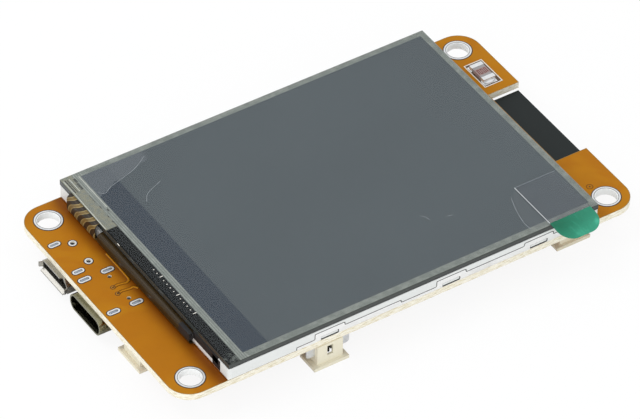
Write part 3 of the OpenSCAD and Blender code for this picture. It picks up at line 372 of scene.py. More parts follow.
@dataclass(frozen=True)
class Moulded(Finish):
    """A plastic, ceramic, ink or film: mottled colour, uneven gloss and a fine skin."""

    colour: Tone
    roughness: float = 0.5
    mottle: float = 0.10
    blotch: float = 1.5 * MM
    skin: float = 0.006 * MM
    coat: float = 0.0
    alpha: float = 1.0
    specular: float = 0.5

    def paint(self, sheet: ShaderSheet, spot: Spot) -> Values:
        """Mottles the colour and roughens the skin."""
        cloud = sheet.noise(spot, self.blotch, 3)
        grain = sheet.noise(spot, self.blotch / 9, 2)
        lightness = 1 + self.mottle * (cloud - 0.5) + self.mottle * 0.5 * (grain - 0.5)
        return {
            "Base Color": sheet.shade(self.colour, lightness),
            "Roughness": self.roughness * (0.8 + 0.4 * cloud),
            "Normal": sheet.relief(grain, self.skin),
            "Coat Weight": self.coat,
            "Alpha": self.alpha,
            "Specular IOR Level": self.specular,
        }


@dataclass(frozen=True)
class Sheet(Finish):
    """Sheet metal: rolling streaks along one axis, faint stains and a fine grain."""

    colour: Tone
    roughness: float = 0.3
    run: Run = Run.X
    streak: float = 0.35 * MM
    depth: float = 0.0015 * MM
    stain: Tone = (0.35, 0.30, 0.24)
    swing: float = 0.12

    def paint(self, sheet: ShaderSheet, spot: Spot) -> Values:
        """Draws the streaks and the stains."""
        streaks = sheet.noise(sheet.stretched(spot, self.run.value), self.streak, 4)
        cloud = sheet.noise(spot, 4 * MM, 3)
        base = sheet.shade(self.colour, 1 + self.swing * (streaks - 0.5))
        return {
            "Base Color": sheet.mix(cloud.rise(0.56, 0.75) * 0.16, base, self.stain),
            "Metallic": 1.0,
            "Roughness": self.roughness * (0.7 + 0.5 * streaks) + 0.06 * cloud,
            "Normal": sheet.relief(streaks, self.depth),
        }


@dataclass(frozen=True)
class Solder(Finish):
    """Solder and tinned copper: bright, lumpy and slightly frosted."""

    colour: Tone
    roughness: float

    def paint(self, sheet: ShaderSheet, spot: Spot) -> Values:
        """Sets the lumps and the frost."""
        lumps = sheet.noise(spot, 0.45 * MM, 3, 0.6)
        frost = sheet.noise(spot, 0.08 * MM, 2)
        return {
            "Base Color": sheet.shade(self.colour, 0.82 + 0.3 * lumps),
            "Metallic": 0.92,
            "Roughness": self.roughness + 0.22 * frost,
            "Normal": sheet.relief(lumps, 0.03 * MM, sheet.relief(frost, 0.003 * MM)),
        }


@dataclass(frozen=True)
class BoardFinish(Finish):
    """Amber solder mask on both faces, with the pale glass laminate bare at every cut edge, and
    painted shade on the mask beside the display's end.
    """

    thickness: float
    display_end: float
    holes: tuple[Point2, ...]
    hole_reach: float
    mask: Tone = tone(176, 114, 10)
    deep: Tone = tone(166, 99, 6)
    # Painted shade: the tone the mask darkens to beside the display's end
    painted_shade: Tone = tone(104, 48, 4)
    plating: Tone = tone(244, 245, 244)
    laminate: Tone = tone(246, 242, 228)
    fibre: Tone = tone(208, 196, 160)
    weave: float = 0.42

    def paint(self, sheet: ShaderSheet, spot: Spot) -> Values:
        """Lays the mask over its copper and cloth, paints shade on it beside the display's end, and
        draws the cut edges and the plated holes.
        """
        top = self.thickness / MM
        cut = spot.z.between(0.006 * top, 0.994 * top, 0.004 * top)
        # Painted shade: the mask darkens towards the display's end, on the top face only, where the
        # display shades it
        beside = spot.x.rise(self.display_end - 4.2, self.display_end - 0.4) * spot.x.fall(0, 1)
        beside = beside * spot.z.rise(0.5 * top, 0.6 * top)
        turn = 2 * math.pi / self.weave
        cloth = (spot.x * turn).wave() * (spot.y * turn).wave()
        pour = sheet.noise(spot, 9 * MM, 2, 0.8).rise(0.42, 0.6)
        cloud = sheet.noise(spot, 2.2 * MM, 3)
        mask = sheet.mix(pour * 0.55, self.mask, self.deep)
        mask = sheet.shade(mask, 0.95 + 0.1 * cloud + 0.012 * cloth)
        mask = sheet.mix(beside * beside * 0.85, mask, self.painted_shade)
        fibres = sheet.noise(sheet.stretched(spot, (0.25, 0.25, 3.0)), 0.25 * MM, 3)
        laminate = sheet.mix(fibres.rise(0.4, 0.7), self.laminate, self.fibre)
        colour = sheet.mix(cut, mask, laminate)
        for hole in self.holes:
            near = spot.reach(hole).fall(self.hole_reach, self.hole_reach + 0.02)
            colour = sheet.mix(near, colour, self.plating)
        height = cloth * 0.3 * (1 - cut) + fibres * cut
        return {
            "Base Color": colour,
            "Roughness": 0.4 + 0.12 * cloud + 0.3 * cut,
            "Normal": sheet.relief(height, 0.004 * MM),
            "Specular IOR Level": 0.1,
        }


@dataclass(frozen=True)
class PanelMarks(Finish):
    """What shows through the top of the touch panel, with its places in millimetres.

    The picture area is dark glass. A silver border runs round it, then at the USB
    end a black strip with the bare driver ledge, and the pale bond of the tail.
    """

    top: float
    usb_view: float = -31.25
    antenna_view: float = 33.45
    far_view: float = 23.85
    near_view: float = -23.7
    black_from: float = -32.45
    bond_y: float = 10.9
    band_to: float = -26.7
    stripe: float = 0.42
    soft: float = 0.18
    glass: Tone = tone(76, 84, 88)
    band: Tone = tone(52, 61, 71)
    silver: Tone = tone(120, 126, 121)
    rim: Tone = tone(152, 157, 150)
    black: Tone = tone(10, 14, 14)
    bond: Tone = tone(136, 136, 120)
    patch: Tone = tone(95, 101, 106)
    side: Tone = tone(62, 66, 63)

    def paint(self, sheet: ShaderSheet, spot: Spot) -> Values:
        """Draws the picture area, the border, the black strip, the bond and the edge."""
        wide = sheet.noise(spot, 22 * MM, 2)
        cloud = sheet.noise(spot, 3 * MM, 3)
        picture = sheet.shade(self.glass, 0.9 + 0.16 * wide + 0.04 * cloud)
        band = spot.x.fall(self.band_to - 0.15, self.band_to + 0.15)
        ragged = spot.y - 0.33 * spot.x + 1.6 * (sheet.noise(spot, 2.4 * MM, 2) - 0.5)
        lifted = ragged.rise(28.4, 28.7) * spot.x.fall(-20.8, -19.2)
        picture = sheet.mix(band, picture, self.band)
        picture = sheet.mix(lifted * 0.8, picture, self.patch)
        inside = spot.x.between(self.usb_view, self.antenna_view, self.soft)
        inside = inside * spot.y.between(self.near_view, self.far_view, self.soft)
        streak = sheet.noise(sheet.stretched(spot, (0.4, 0.4, 1.0)), 0.5 * MM, 2)
        stripes = (spot.x * (2 * math.pi / self.stripe)).wave() * spot.x.fall(-31.0, -30.8)
        silver = sheet.mix((streak.rise(0.35, 0.7) + stripes) * 0.5, self.silver, self.rim)
        bonded = spot.y.rise(self.bond_y - 0.1, self.bond_y + 0.1)
        fine = sheet.noise(spot, 0.7 * MM, 3)
        tail = sheet.mix(fine.rise(0.42, 0.6) * 0.7, self.bond, self.silver)
        smear = (spot.y + 2 * cloud).fall(-22.2, -21.4) * fine.rise(0.45, 0.6)
        end = sheet.mix(bonded, sheet.mix(smear * 0.5, self.black, self.silver), tail)
        beyond = spot.x.fall(self.black_from - 0.1, self.black_from + 0.1)
        colour = sheet.mix(beyond, sheet.mix(inside, silver, picture), end)
        below = spot.z.fall(self.top - 0.03, self.top - 0.01)
        return {
            "Base Color": sheet.mix(below, colour, self.side),
            "Roughness": 0.3 + 0.1 * cloud,
            "Normal": sheet.relief(wide, 0.02 * MM),
            "Coat Weight": 0.3 * inside,
            "Specular IOR Level": 0.1,
        }


@dataclass(frozen=True)
class FilmFinish(Finish):
    """A clear film that shows only by its haze, its gloss and where air lies under it."""

    haze: Tone
    cover: float
    lifted: float = 0.0
    tape_x: float = 0.0
    centre: Point2 = (30.5, -21.5)
    reach: float = 8.4
    roughness: float = 0.22
    ripple: float = 0.03 * MM

    def paint(self, sheet: ShaderSheet, spot: Spot) -> Values:
        """Draws the haze, and the bubble of air beside the tape."""
        dust = sheet.noise(spot, 0.6 * MM, 3)
        swell = sheet.noise(spot, 14 * MM, 2)
        bubble = spot.reach(self.centre).fall(self.reach - 0.25, self.reach)
        bubble = bubble * spot.x.fall(self.tape_x - 0.05, self.tape_x + 0.05)
        return {
            "Base Color": sheet.shade(self.haze, 0.92 + 0.16 * dust),
            "Roughness": self.roughness * (0.8 + 0.4 * dust),
            "Normal": sheet.relief(swell, self.ripple),
            "Alpha": self.cover * (0.92 + 0.16 * dust) + self.lifted * bubble,
        }


@dataclass(frozen=True)
class FlexFinish(Finish):
    """A polyimide flex: amber film over dark conductors that run across the fold, with a painted
    highlight along the conductors' edges.
    """

    film: Tone
    track: Tone
    glint: Tone
    pitch: float
    share: float
    skew: float = 0.0
    fan: float = 0.0
    centre: float = 0.0
    gloss: float = 0.15

    def paint(self, sheet: ShaderSheet, spot: Spot) -> Values:
        """Draws the conductors and a painted highlight along their edges."""
        cloud = sheet.noise(spot, 2.5 * MM, 3)
        rise = spot.z - 3
        across = spot.y - self.centre + self.skew * spot.z + self.fan * rise * rise
        ridge = ((across + 0.4 * (cloud - 0.5)) * (2 * math.pi / self.pitch)).wave()
        edge = 1 - 2 * self.share
        tracks = ridge.rise(edge - 0.3, edge + 0.3)
        # Painted highlight: the glint tone along each conductor's edge
        edge_highlight = ridge.between(edge - 0.45, edge - 0.05, 0.2)
        along = sheet.noise(sheet.stretched(spot, (2.0, 0.05, 2.0)), 0.7 * MM, 3)
        colour = sheet.mix(tracks, self.film, self.track)
        colour = sheet.mix(edge_highlight * 0.6, colour, self.glint)
        return {
            "Base Color": sheet.shade(colour, 0.55 + 0.5 * cloud + 0.4 * along),
            "Roughness": 0.26 + 0.2 * cloud,
            "Normal": sheet.relief(tracks, 0.01 * MM),
            "Coat Weight": self.gloss,
            "Specular IOR Level": 0.18,
        }


@dataclass(frozen=True)
class TabFinish(Finish):
    """Translucent green film, with painted highlights on its creases, and lighter towards its end
    and its high X side.
    """

    low_x: float
    high_x: float
    colour: Tone = tone(4, 104, 76)
    light: Tone = tone(70, 176, 144)
    end_y: float = -29.0

    def paint(self, sheet: ShaderSheet, spot: Spot) -> Values:
        """Draws the painted highlights on the creases, the pale end and the lighter high X side."""
        crease = sheet.noise(sheet.stretched(spot, (0.9, 0.35, 1.0)), 1.6 * MM, 3, 0.5)
        fine = sheet.noise(spot, 0.5 * MM, 2)
        # Painted highlight on the creases; the end and the high X side are only made lighter
        pale = crease.rise(0.5, 0.74) * 0.45 + spot.y.fall(self.end_y, self.end_y + 3.4) * 0.3
        pale = pale + spot.x.rise(self.low_x, self.high_x) * 0.3
        return {
            "Base Color": sheet.shade(sheet.mix(pale, self.colour, self.light), 0.9 + 0.2 * fine),
            "Roughness": 0.26 + 0.14 * fine,
            "Normal": sheet.relief(crease, 0.12 * MM),
            "Coat Weight": 0.04,
            "Alpha": 0.97,
            "Specular IOR Level": 0.25,
        }


@dataclass(frozen=True)
class SensorFinish(Finish):
    """The light sensor's grey ceramic, with a darker glazed window across its middle."""

    middle_y: float
    half_length: float
    ceramic: Tone = tone(150, 146, 146)
    window: Tone = tone(150, 122, 118)

    def paint(self, sheet: ShaderSheet, spot: Spot) -> Values:
        """Draws the window on the ceramic."""
        cloud = sheet.noise(spot, 0.9 * MM, 3)
        along = abs(spot.y - self.middle_y)
        window = along.fall(self.half_length * 0.36, self.half_length * 0.42)
        colour = sheet.mix(window * 0.8, self.ceramic, self.window)
        return {
            "Base Color": sheet.shade(colour, 0.85 + 0.3 * cloud),
            "Roughness": 0.35 + 0.2 * cloud,
            "Normal": sheet.relief(cloud, 0.01 * MM),
        }


TIN = Solder("tinned_copper", tone(226, 228, 230), 0.3)
DULL_SOLDER = Solder("dull_solder", tone(150, 160, 172), 0.22)
# Painted shade: tin darkened to stand for the shade inside the headers' windows
TIN_IN_SHADE = Solder("worn_tin", tone(126, 116, 98), 0.4)
STEEL = Sheet("satin_steel", tone(250, 250, 249), 0.32)
BRIGHT_STEEL = Sheet("bright_steel", tone(206, 204, 198), 0.2, Run.Y)
# Painted reflection: the USB-C shell's dark olive steel, with strong light and dark streaks that
# stand for what its top reflects
PAINTED_REFLECTION_STEEL = Sheet("shell_steel", tone(132, 130, 108), 0.16, Run.Y, 0.5 * MM, swing=1.5)
DARK_STEEL = Sheet("dark_steel", tone(170, 168, 162), 0.3, Run.Y)
CAN_STEEL = Sheet("can_steel", tone(200, 200, 198), 0.34)
GOLD = Sheet("gold_flash", tone(226, 186, 110), 0.26, Run.X, 0.2 * MM)
WHITE_INK = Moulded("white_ink", tone(236, 232, 222), 0.6, 0.12, 0.4 * MM)
# Painted shade: dark lines at the mask's edge round lands and vias, and dark discs down the via
# holes
GAP_SHADE = Moulded("bare_gap", tone(52, 34, 14), 0.5, 0.25, 0.3 * MM)
SEAM_SHADOW = Moulded("seam_shadow", tone(66, 66, 64), 0.7, 0.2, 0.4 * MM)
BLACK_TAPE = Moulded("black_tape", tone(22, 22, 24), 0.6, 0.1, 1 * MM)
FOAM_TAPE = Moulded("foam_tape", tone(226, 224, 212), 0.8, 0.14, 0.7 * MM)
MASK_RIM = Moulded("mask_rim", tone(150, 118, 50), 0.5, 0.2, 0.6 * MM)
MASKED_COPPER = Moulded("masked_copper", tone(180, 118, 20), 0.42, 0.1, 0.8 * MM, specular=0.1)
MASKED_GAP = Moulded("masked_gap", tone(112, 66, 14), 0.45, 0.15, 0.5 * MM, specular=0.1)
PLATED_LIP = Moulded("plated_lip", tone(150, 150, 148), 0.5, 0.2, 0.8 * MM)
SENSOR_GROUND = Moulded("sensor_ground", tone(84, 62, 46), 0.6, 0.3, 0.5 * MM)
SENSOR_TRACK = Moulded("photocell_track", tone(112, 44, 34), 0.4, 0.2, 0.3 * MM)
BLACK_NYLON = Moulded("black_nylon", tone(34, 34, 35), 0.45, 0.16, 0.8 * MM)
CREAM_NYLON = Moulded("cream_nylon", tone(228, 222, 200), 0.42, 0.08, 1.2 * MM)
WHITE_MOULDING = Moulded("white_moulding", tone(222, 224, 222), 0.45, 0.05, 2 * MM)
CLEAR_PLASTIC = Moulded("clear_plastic", tone(222, 226, 226), 0.2, 0.04, 3 * MM)
WHITE_FILM = Moulded("white_film", tone(240, 240, 240), 0.7, 0.04, 2 * MM)
POLARISER = Moulded("polariser", tone(58, 62, 66), 0.25, 0.06, 3 * MM)
CELL_GLASS = Moulded("cell_glass", tone(60, 66, 68), 0.2, 0.1, 3 * MM)
TOUCH_GLASS = Moulded("touch_glass", tone(52, 57, 55), 0.2, 0.2, 1.4 * MM)
GASKET = Moulded("gasket", tone(24, 24, 26), 0.6, 0.12, 1 * MM)
SILICON = Moulded("silicon", tone(62, 64, 70), 0.18, 0.12, 1 * MM)
STRIP_FLEX = Moulded("strip_flex", tone(228, 226, 214), 0.4, 0.1, 1 * MM)
LAMP_PHOSPHOR = Moulded("lamp_phosphor", tone(236, 214, 96), 0.5, 0.1, 0.6 * MM)
BOND_DARK = Moulded("bond_dark", tone(62, 64, 58), 0.4, 0.3, 0.4 * MM)
BOND_PALE = Moulded("bond_pale", tone(196, 198, 188), 0.35, 0.2, 0.5 * MM)
# Painted highlights on the clear tape's cut edges
EDGE_HIGHLIGHT = Moulded("film_edge", tone(206, 210, 212), 0.25, 0.1, 1 * MM)
RIM_HIGHLIGHT = Moulded("film_rim", tone(128, 136, 142), 0.3, 0.1, 1 * MM)
FILM_SCUFF = Moulded("film_scuff", tone(168, 175, 180), 0.4, 1.2, 0.9 * MM, alpha=0.75)
MODULE_MASK = Moulded("black_mask", tone(34, 39, 39), 0.4, 0.14, 1.6 * MM, specular=0.12)
EPOXY = Moulded("chip_epoxy", tone(46, 47, 50), 0.55, 0.22, 0.35 * MM, 0.02 * MM)
CHIP_MARK = Moulded("chip_mark", tone(84, 85, 88), 0.35, 0.1, 0.4 * MM)
BUTTON = Moulded("button", tone(222, 220, 212), 0.42, 0.08, 0.8 * MM)
LAMP_PACKAGE = Moulded("lamp_package", tone(236, 234, 226), 0.3, 0.08, 0.8 * MM, coat=0.3)
RESISTOR_GLAZE = Moulded("resistor_glaze", tone(40, 40, 44), 0.25, 0.15, 0.4 * MM)
CAPACITOR_BODY = Moulded("capacitor_body", tone(178, 146, 104), 0.4, 0.15, 0.4 * MM)


# ---- Places and boxes ----


@dataclass(frozen=True)
class Block:
    """A box given by its low and high corners, in metres."""

    low: Vector
    high: Vector

    @property
    def centre(self) -> Vector:
        """The middle of the box."""
        return (self.low + self.high) / 2

    @property
    def size(self) -> Vector:
        """The box's extent along each axis."""
        return self.high - self.low


def node_box(name: str) -> Block:
    """Gives the box of one solid node."""
    return Block(*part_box(name))


def at(x: float, y: float, z: float) -> Vector:
    """Gives a point from X and Y in millimetres and Z in metres."""
    return Vector((x * MM, y * MM, z))


def level_runs(runs: Iterable[Iterable[Point2]], z: float) -> list[list[Vector]]:
    """Sets runs of points in millimetres at one height in metres."""
    return [[at(x, y, z) for x, y in run] for run in runs]


def corners(low: Sequence[float], high: Sequence[float]) -> list[Point2]:
    """Gives the four corners of an upright rectangle in order."""
    return [(low[0], low[1]), (high[0], low[1]), (high[0], high[1]), (low[0], high[1])]


def block_at(x: float, y: float, z: float, size: Size3) -> Block:
    """Gives a box from its middle in X and Y and its size, in millimetres, up from z in metres."""
    half = Vector((size[0] / 2, size[1] / 2, 0)) * MM
    foot = at(x, y, z)
    return Block(foot - half, foot + half + Vector((0, 0, size[2] * MM)))


def oval(centre: Vector, size: Sequence[float], count: int) -> list[Vector]:
    """Gives the outline of a slot with round ends, or of a circle.

    Args:
        centre: Its middle, which also gives the height.
        size: Its extents along X and Y, in metres.
        count: Number of points.

    Returns:
        The points in order round the outline.
    """
    radius = min(size[0], size[1]) / 2
    points = []
    for i in range(count):
        angle = 2 * math.pi * (i + 0.5) / count
        way = Vector((math.cos(angle), math.sin(angle), 0))
        side = [math.copysign(size[k] / 2 - radius, way[k]) for k in (0, 1)]
        points.append(centre + Vector((*side, 0)) + way * radius)
    return points


def ease(path: Sequence[Point2], radius: float) -> list[Point2]:
    """Rounds the corners of a stepped line with short curves.

    Args:
        path: The line's points.
        radius: How far from its corner a curve may start.

    Returns:
        The points of the rounded line.
    """
    steps = 4
    eased = [path[0]]
    for i in range(1, len(path) - 1):
        before, corner, after = (Vector(path[i + k]).to_2d() for k in (-1, 0, 1))
        into, out = corner - before, after - corner
        reach = min(radius, into.length * 0.48, out.length * 0.48)
        start, end = corner - into.normalized() * reach, corner + out.normalized() * reach
        for share in (step / steps for step in range(steps + 1)):
            rest = 1 - share
            eased.append(tuple(start * rest**2 + corner * 2 * share * rest + end * share**2))
    eased.append(path[-1])
    return eased


# ---- Reading the solids ----


def merged(node: Piece) -> bmesh.types.BMesh:
    """Gives a copy of a node's mesh with its loose triangles joined."""
    mesh = bmesh.new()
    mesh.from_mesh(node.data)
    bmesh.ops.remove_doubles(mesh, verts=mesh.verts, dist=JOIN)
    return mesh


def node_islands(node: Piece) -> list[Block]:
    """Finds the separate solids of one node.

    Args:
        node: The node's object.

    Returns:
        The box of each solid, in the order of the low corners.
    """
    mesh = merged(node)
    unseen = set(mesh.verts)
    found: list[Block] = []
    while unseen:
        stack = [unseen.pop()]
        members = [stack[0].co.copy()]
        while stack:
            for edge in stack.pop().link_edges:
                for vertex in edge.verts:
                    if vertex in unseen:
                        unseen.remove(vertex)
                        members.append(vertex.co.copy())
                        stack.append(vertex)
        low, high = (Vector(pick(p[i] for p in members) for i in range(3)) for pick in (min, max))
        found.append(Block(low, high))
    mesh.free()
    return sorted(found, key=lambda block: tuple(round(v, 6) for v in block.low))


def outer_loop(node: Piece, level: float) -> list[Vector]:
    """Finds the outline of a solid's flat top, leaving out its holes.

    Args:
        node: The node's object.
        level: The height of the top.

    Returns:
        The points in order round the outline.
    """
    mesh = merged(node)
    links: dict[bmesh.types.BMVert, list[bmesh.types.BMVert]] = {}
    for edge in mesh.edges:
        flat = [face for face in edge.link_faces if abs(face.normal.z) > 0.9]
        if len(flat) == 1 and all(abs(v.co.z - level) < 10 * JOIN for v in edge.verts):
            first, second = edge.verts
            links.setdefault(first, []).append(second)
            links.setdefault(second, []).append(first)
    start = min(links, key=lambda vertex: vertex.co.x)
    loop, previous, current = [start], None, start
    while True:
        step = next((v for v in links[current] if v is not previous), None)
        if step is None or step is start:
            break
        loop.append(step)
        previous, current = current, step
    points = [vertex.co.copy() for vertex in loop]
    mesh.free()
    return points


def inset_loop(points: Sequence[Vector], distance: float) -> list[Vector]:
    """Moves a closed level outline inwards.

    Args:
        points: The outline's points in order.
        distance: How far it moves.

    Returns:
        The moved points.
    """
    following = [*points[1:], points[0]]
    area = sum(p.x * q.y - q.x * p.y for p, q in zip(points, following))
    turn = 1 if area > 0 else -1
    moved = []
    for i, (point, following_point) in enumerate(zip(points, following)):
        before = (point - points[i - 1]).normalized()
        after = (following_point - point).normalized()
        inward = Vector((-before.y - after.y, before.x + after.x, 0)) * turn
        reach = distance / max(0.3, 0.5 * inward.length)
        moved.append(point + inward.normalized() * reach)
    return moved


@dataclass(frozen=True)
class WallOutline:
    """A folded wall's outline: its stepped top and its windows, as places along it and heights."""

    top: list[Point2]
    windows: list[Bar]


def read_wall(node: Piece, across: int, level: float, fold: float) -> WallOutline:
    """Reads a folded wall's outline from its solid.

    Args:
        node: The shell's object.
        across: The axis through the wall, 0 or 1.
        level: Place of the wall's outer face on that axis.
        fold: Height of the rounded fold's top.

    Returns:
        The outline, in metres.
    """
    along = 1 - across
    columns: dict[float, set[float]] = {}
    for vertex in node.data.vertices:
        if abs(vertex.co[across] - level) < 2 * JOIN and vertex.co.z > fold - 2 * JOIN:
            columns.setdefault(round(vertex.co[along], 6), set()).add(round(vertex.co.z, 6))
    places = sorted(columns)
    top: list[Point2] = []
    sides: list[tuple[float, float, float]] = []
    height = min(columns[places[0]])
    for place in places:
        heights = sorted(columns[place])
        inner = place not in (places[0], places[-1])
        if len(heights) < 2:
            continue
        if inner and heights[0] < fold + 10 * JOIN:
            sides.append((place, heights[0], heights[-1]))
            continue
        after = heights[-1] if abs(heights[0] - height) < 10 * JOIN else heights[0]
        top.extend([(place, height), (place, after)])
        height = after
    windows = [(one[0], two[0], one[1], one[2]) for one, two in zip(sides[::2], sides[1::2])]
    return WallOutline(top, windows)


# ---- Making pieces ----


def new_piece(
    name: str, points: Sequence = (), edges: Sequence = (), faces: Sequence = ()
) -> Piece:
    """Links a new mesh object with the given points, edges and faces."""
    mesh = bpy.data.meshes.new(name)
    mesh.from_pydata([tuple(p) for p in points], list(edges), list(faces))
    mesh.update()
    piece = bpy.data.objects.new(name, mesh)
    bpy.context.scene.collection.objects.link(piece)
    return piece


def mount_piece(piece: Piece, slot: str, *replaced: str) -> None:
    """Makes a piece ride on the carrier body.

    Args:
        piece: The finished piece.
        slot: The record's material slot; not used.
        replaced: Nodes that it stands for.
    """
    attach(piece, CARRIER)
    if replaced:
        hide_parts(*replaced)
    LOG.info("piece %s: %d faces", piece.name, len(piece.data.polygons))


class TreeMaker(NodeSheet):
    """Builds one Geometry Nodes tree, socket by socket."""

    def __init__(self, name: str, *numbers: str) -> None:
        """Starts a tree that takes a geometry, the named numbers and a material."""
        super().__init__(bpy.data.node_groups.new(name, "GeometryNodeTree"))
        kinds = {"Geometry": "Geometry", **dict.fromkeys(numbers, "Float"), "Material": "Material"}
        face = self.tree.interface
        self.identifiers: dict[str, str] = {}
        for label, kind in kinds.items():
            made = face.new_socket(label, in_out="INPUT", socket_type=f"NodeSocket{kind}")
            self.identifiers[label] = made.identifier
        face.new_socket("Geometry", in_out="OUTPUT", socket_type="NodeSocketGeometry")
        self.entry = self.tree.nodes.new("NodeGroupInput")

    def input(self, label: str) -> Socket:
        """Gives the tree's own input with this name."""
        return find_socket(self.entry.outputs, label)

    def finish(self, geometry: Socket) -> None:
        """Ends the tree: instances become real, and take the material."""
        real = self.node("GeometryNodeRealizeInstances", values={0: geometry})
        values = {"Geometry": real.outputs[0], "Material": self.input("Material")}
        dressed = self.node("GeometryNodeSetMaterial", values=values)
        self.node("NodeGroupOutput", values={0: dressed.outputs[0]})

    def apply(self, piece: Piece, values: Mapping[str, object]) -> None:
        """Runs the tree on a piece and leaves a plain mesh.

        Args:
            piece: The piece, whose mesh is the tree's geometry.
            values: What each of the tree's other inputs takes.
        """
        modifier = piece.modifiers.new("shape", "NODES")
        modifier.node_group = self.tree
        for label, value in values.items():
            modifier[self.identifiers[label]] = value
        bpy.context.view_layer.update()
        graph = bpy.context.evaluated_depsgraph_get()
        mesh = bpy.data.meshes.new_from_object(piece.evaluated_get(graph))
        piece.modifiers.clear()
        rough, piece.data = piece.data, mesh
        bpy.data.meshes.remove(rough)


class Stamp(Enum):
    """The shapes that are set on points, one unit wide: node type, settings and values."""

    BLOCK = ("GeometryNodeMeshCube", {}, {"Size": (1.0, 1.0, 1.0)})
    DOME = ("GeometryNodeMeshUVSphere", {}, {"Segments": 16, "Rings": 8, "Radius": 0.5})
    DISC = (
        "GeometryNodeMeshCylinder",
        {"fill_type": "NGON"},
        {"Vertices": 24, "Radius": 0.5, "Depth": 1.0},
    )


class Workshop:
    """Keeps the materials, and makes and mounts every fine piece."""

    def __init__(self) -> None:
        """Builds the trees once, for all pieces."""
        self.made: dict[str, Material] = {}
        self.ribbons = self._ribbon_tree()
        self.stamps = {stamp: self._stamp_tree(stamp) for stamp in Stamp}

    def material(self, finish: Finish) -> Material:
        """Gives the material of a finish, built once."""
        if finish.name not in self.made:
            self.made[finish.name] = finish.make()
        return self.made[finish.name]

    @staticmethod
    def _ribbon_tree() -> TreeMaker:
        """Builds the tree that lays a flat bar, kept level, along each path."""
        maker = TreeMaker("ribbon", "Width", "Thickness")
        curve = maker.node("GeometryNodeMeshToCurve", values={0: maker.input("Geometry")})
        level = maker.node("GeometryNodeSetCurveNormal", {"mode": "Z_UP"}, {0: curve.outputs[0]})
        sides = {"Width": maker.input("Width"), "Height": maker.input("Thickness")}
        kind = "GeometryNodeCurvePrimitiveQuadrilateral"
        profile = maker.node(kind, {"mode": "RECTANGLE"}, sides)
        ends = {"Curve": level.outputs[0], "Profile Curve": profile.outputs[0], "Fill Caps": True}
        maker.finish(maker.node("GeometryNodeCurveToMesh", values=ends).outputs[0])
        return maker

    @staticmethod
    def _stamp_tree(stamp: Stamp) -> TreeMaker:
        """Builds the tree that sets one shape on every point, sized by its attribute."""
        maker = TreeMaker(f"stamp_{stamp.name.lower()}")
        shape = maker.node(*stamp.value)
        size = maker.node(
            "GeometryNodeInputNamedAttribute", {"data_type": "FLOAT_VECTOR"}, {"Name": "size"}
        )
        values = {
            "Points": maker.input("Geometry"),
            "Instance": shape.outputs[0],
            "Scale": size.outputs[0],
        }
        maker.finish(maker.node("GeometryNodeInstanceOnPoints", values=values).outputs[0])
        return maker

    def ribbon(
        self,
        name: str,
        slot: str,
        finish: Finish,
        paths: Sequence[Sequence[Vector]],
        width: float,
        thickness: float,
        closed: bool = False,
    ) -> None:
        """Lays a flat bar along each path and mounts the piece.

        Args:
            name: The piece's name.
            slot: The record's material slot.
            finish: The piece's finish.
            paths: The points of each path, at the bar's middle height.
            width: Width of the bar.
            thickness: Height of the bar.
            closed: Whether each path ends where it starts.
        """
        points: list[Vector] = []
        edges: list[tuple[int, int]] = []
        for path in paths:
            start, last = len(points), len(points) + len(path) - 1
            points.extend(path)
            edges.extend((i, i + 1) for i in range(start, last))
            if closed:
                edges.append((last, start))
        piece = new_piece(name, points, edges)
        values = {"Width": width, "Thickness": thickness, "Material": self.material(finish)}
        self.ribbons.apply(piece, values)
        mount_piece(piece, slot)

    def stamp(
        self, name: str, slot: str, finish: Finish, stamp: Stamp, blocks: Sequence[Block]
    ) -> None:
        """Sets one shape in each of the given boxes and mounts the piece.

        Args:
            name: The piece's name.
            slot: The record's material slot.
            finish: The piece's finish.
            stamp: The shape.
            blocks: The box that each copy fills.
        """
        piece = new_piece(name, [block.centre for block in blocks])
        sizes = piece.data.attributes.new("size", "FLOAT_VECTOR", "POINT")
        for i, block in enumerate(blocks):
            sizes.data[i].vector = block.size
        self.stamps[stamp].apply(piece, {"Material": self.material(finish)})
        mount_piece(piece, slot)

    def lifted_copy(self, name: str, slot: str, finish: Finish, node: Piece, lift: float) -> None:
        """Copies a flat solid, raises its underside clear of what it covers, and mounts it instead.

        Args:
            name: The piece's name.
            slot: The record's material slot.
            finish: The piece's finish.
            node: The solid's object, whose name is its node's.
            lift: How far the underside goes up, in metres.
        """
        mesh = merged(node)
        lowest = min(vertex.co.z for vertex in mesh.verts)
        for vertex in mesh.verts:
            if vertex.co.z < lowest + 2 * JOIN:
                vertex.co.z += lift
        bmesh.ops.recalc_face_normals(mesh, faces=mesh.faces)
        piece = new_piece(name)
        mesh.to_mesh(piece.data)
        mesh.free()
        piece.data.materials.append(self.material(finish))
        mount_piece(piece, slot, node.name)


# ---- Sub-assemblies ----


@dataclass
class Assembly:
    """A group of solids, with the workshop that finishes them."""

    nodes: Mapping[str, Piece]
    shop: Workshop

    def dress(self, plan: Mapping[str, Finish]) -> None:
        """Gives solid nodes their finishes."""
        for name, finish in plan.items():
            node, material = self.nodes[name], self.shop.material(finish)
            if not node.material_slots:
                node.data.materials.append(material)
            for slot in node.material_slots:
                slot.material = material
            LOG.info("node %s: %s", name, material.name)


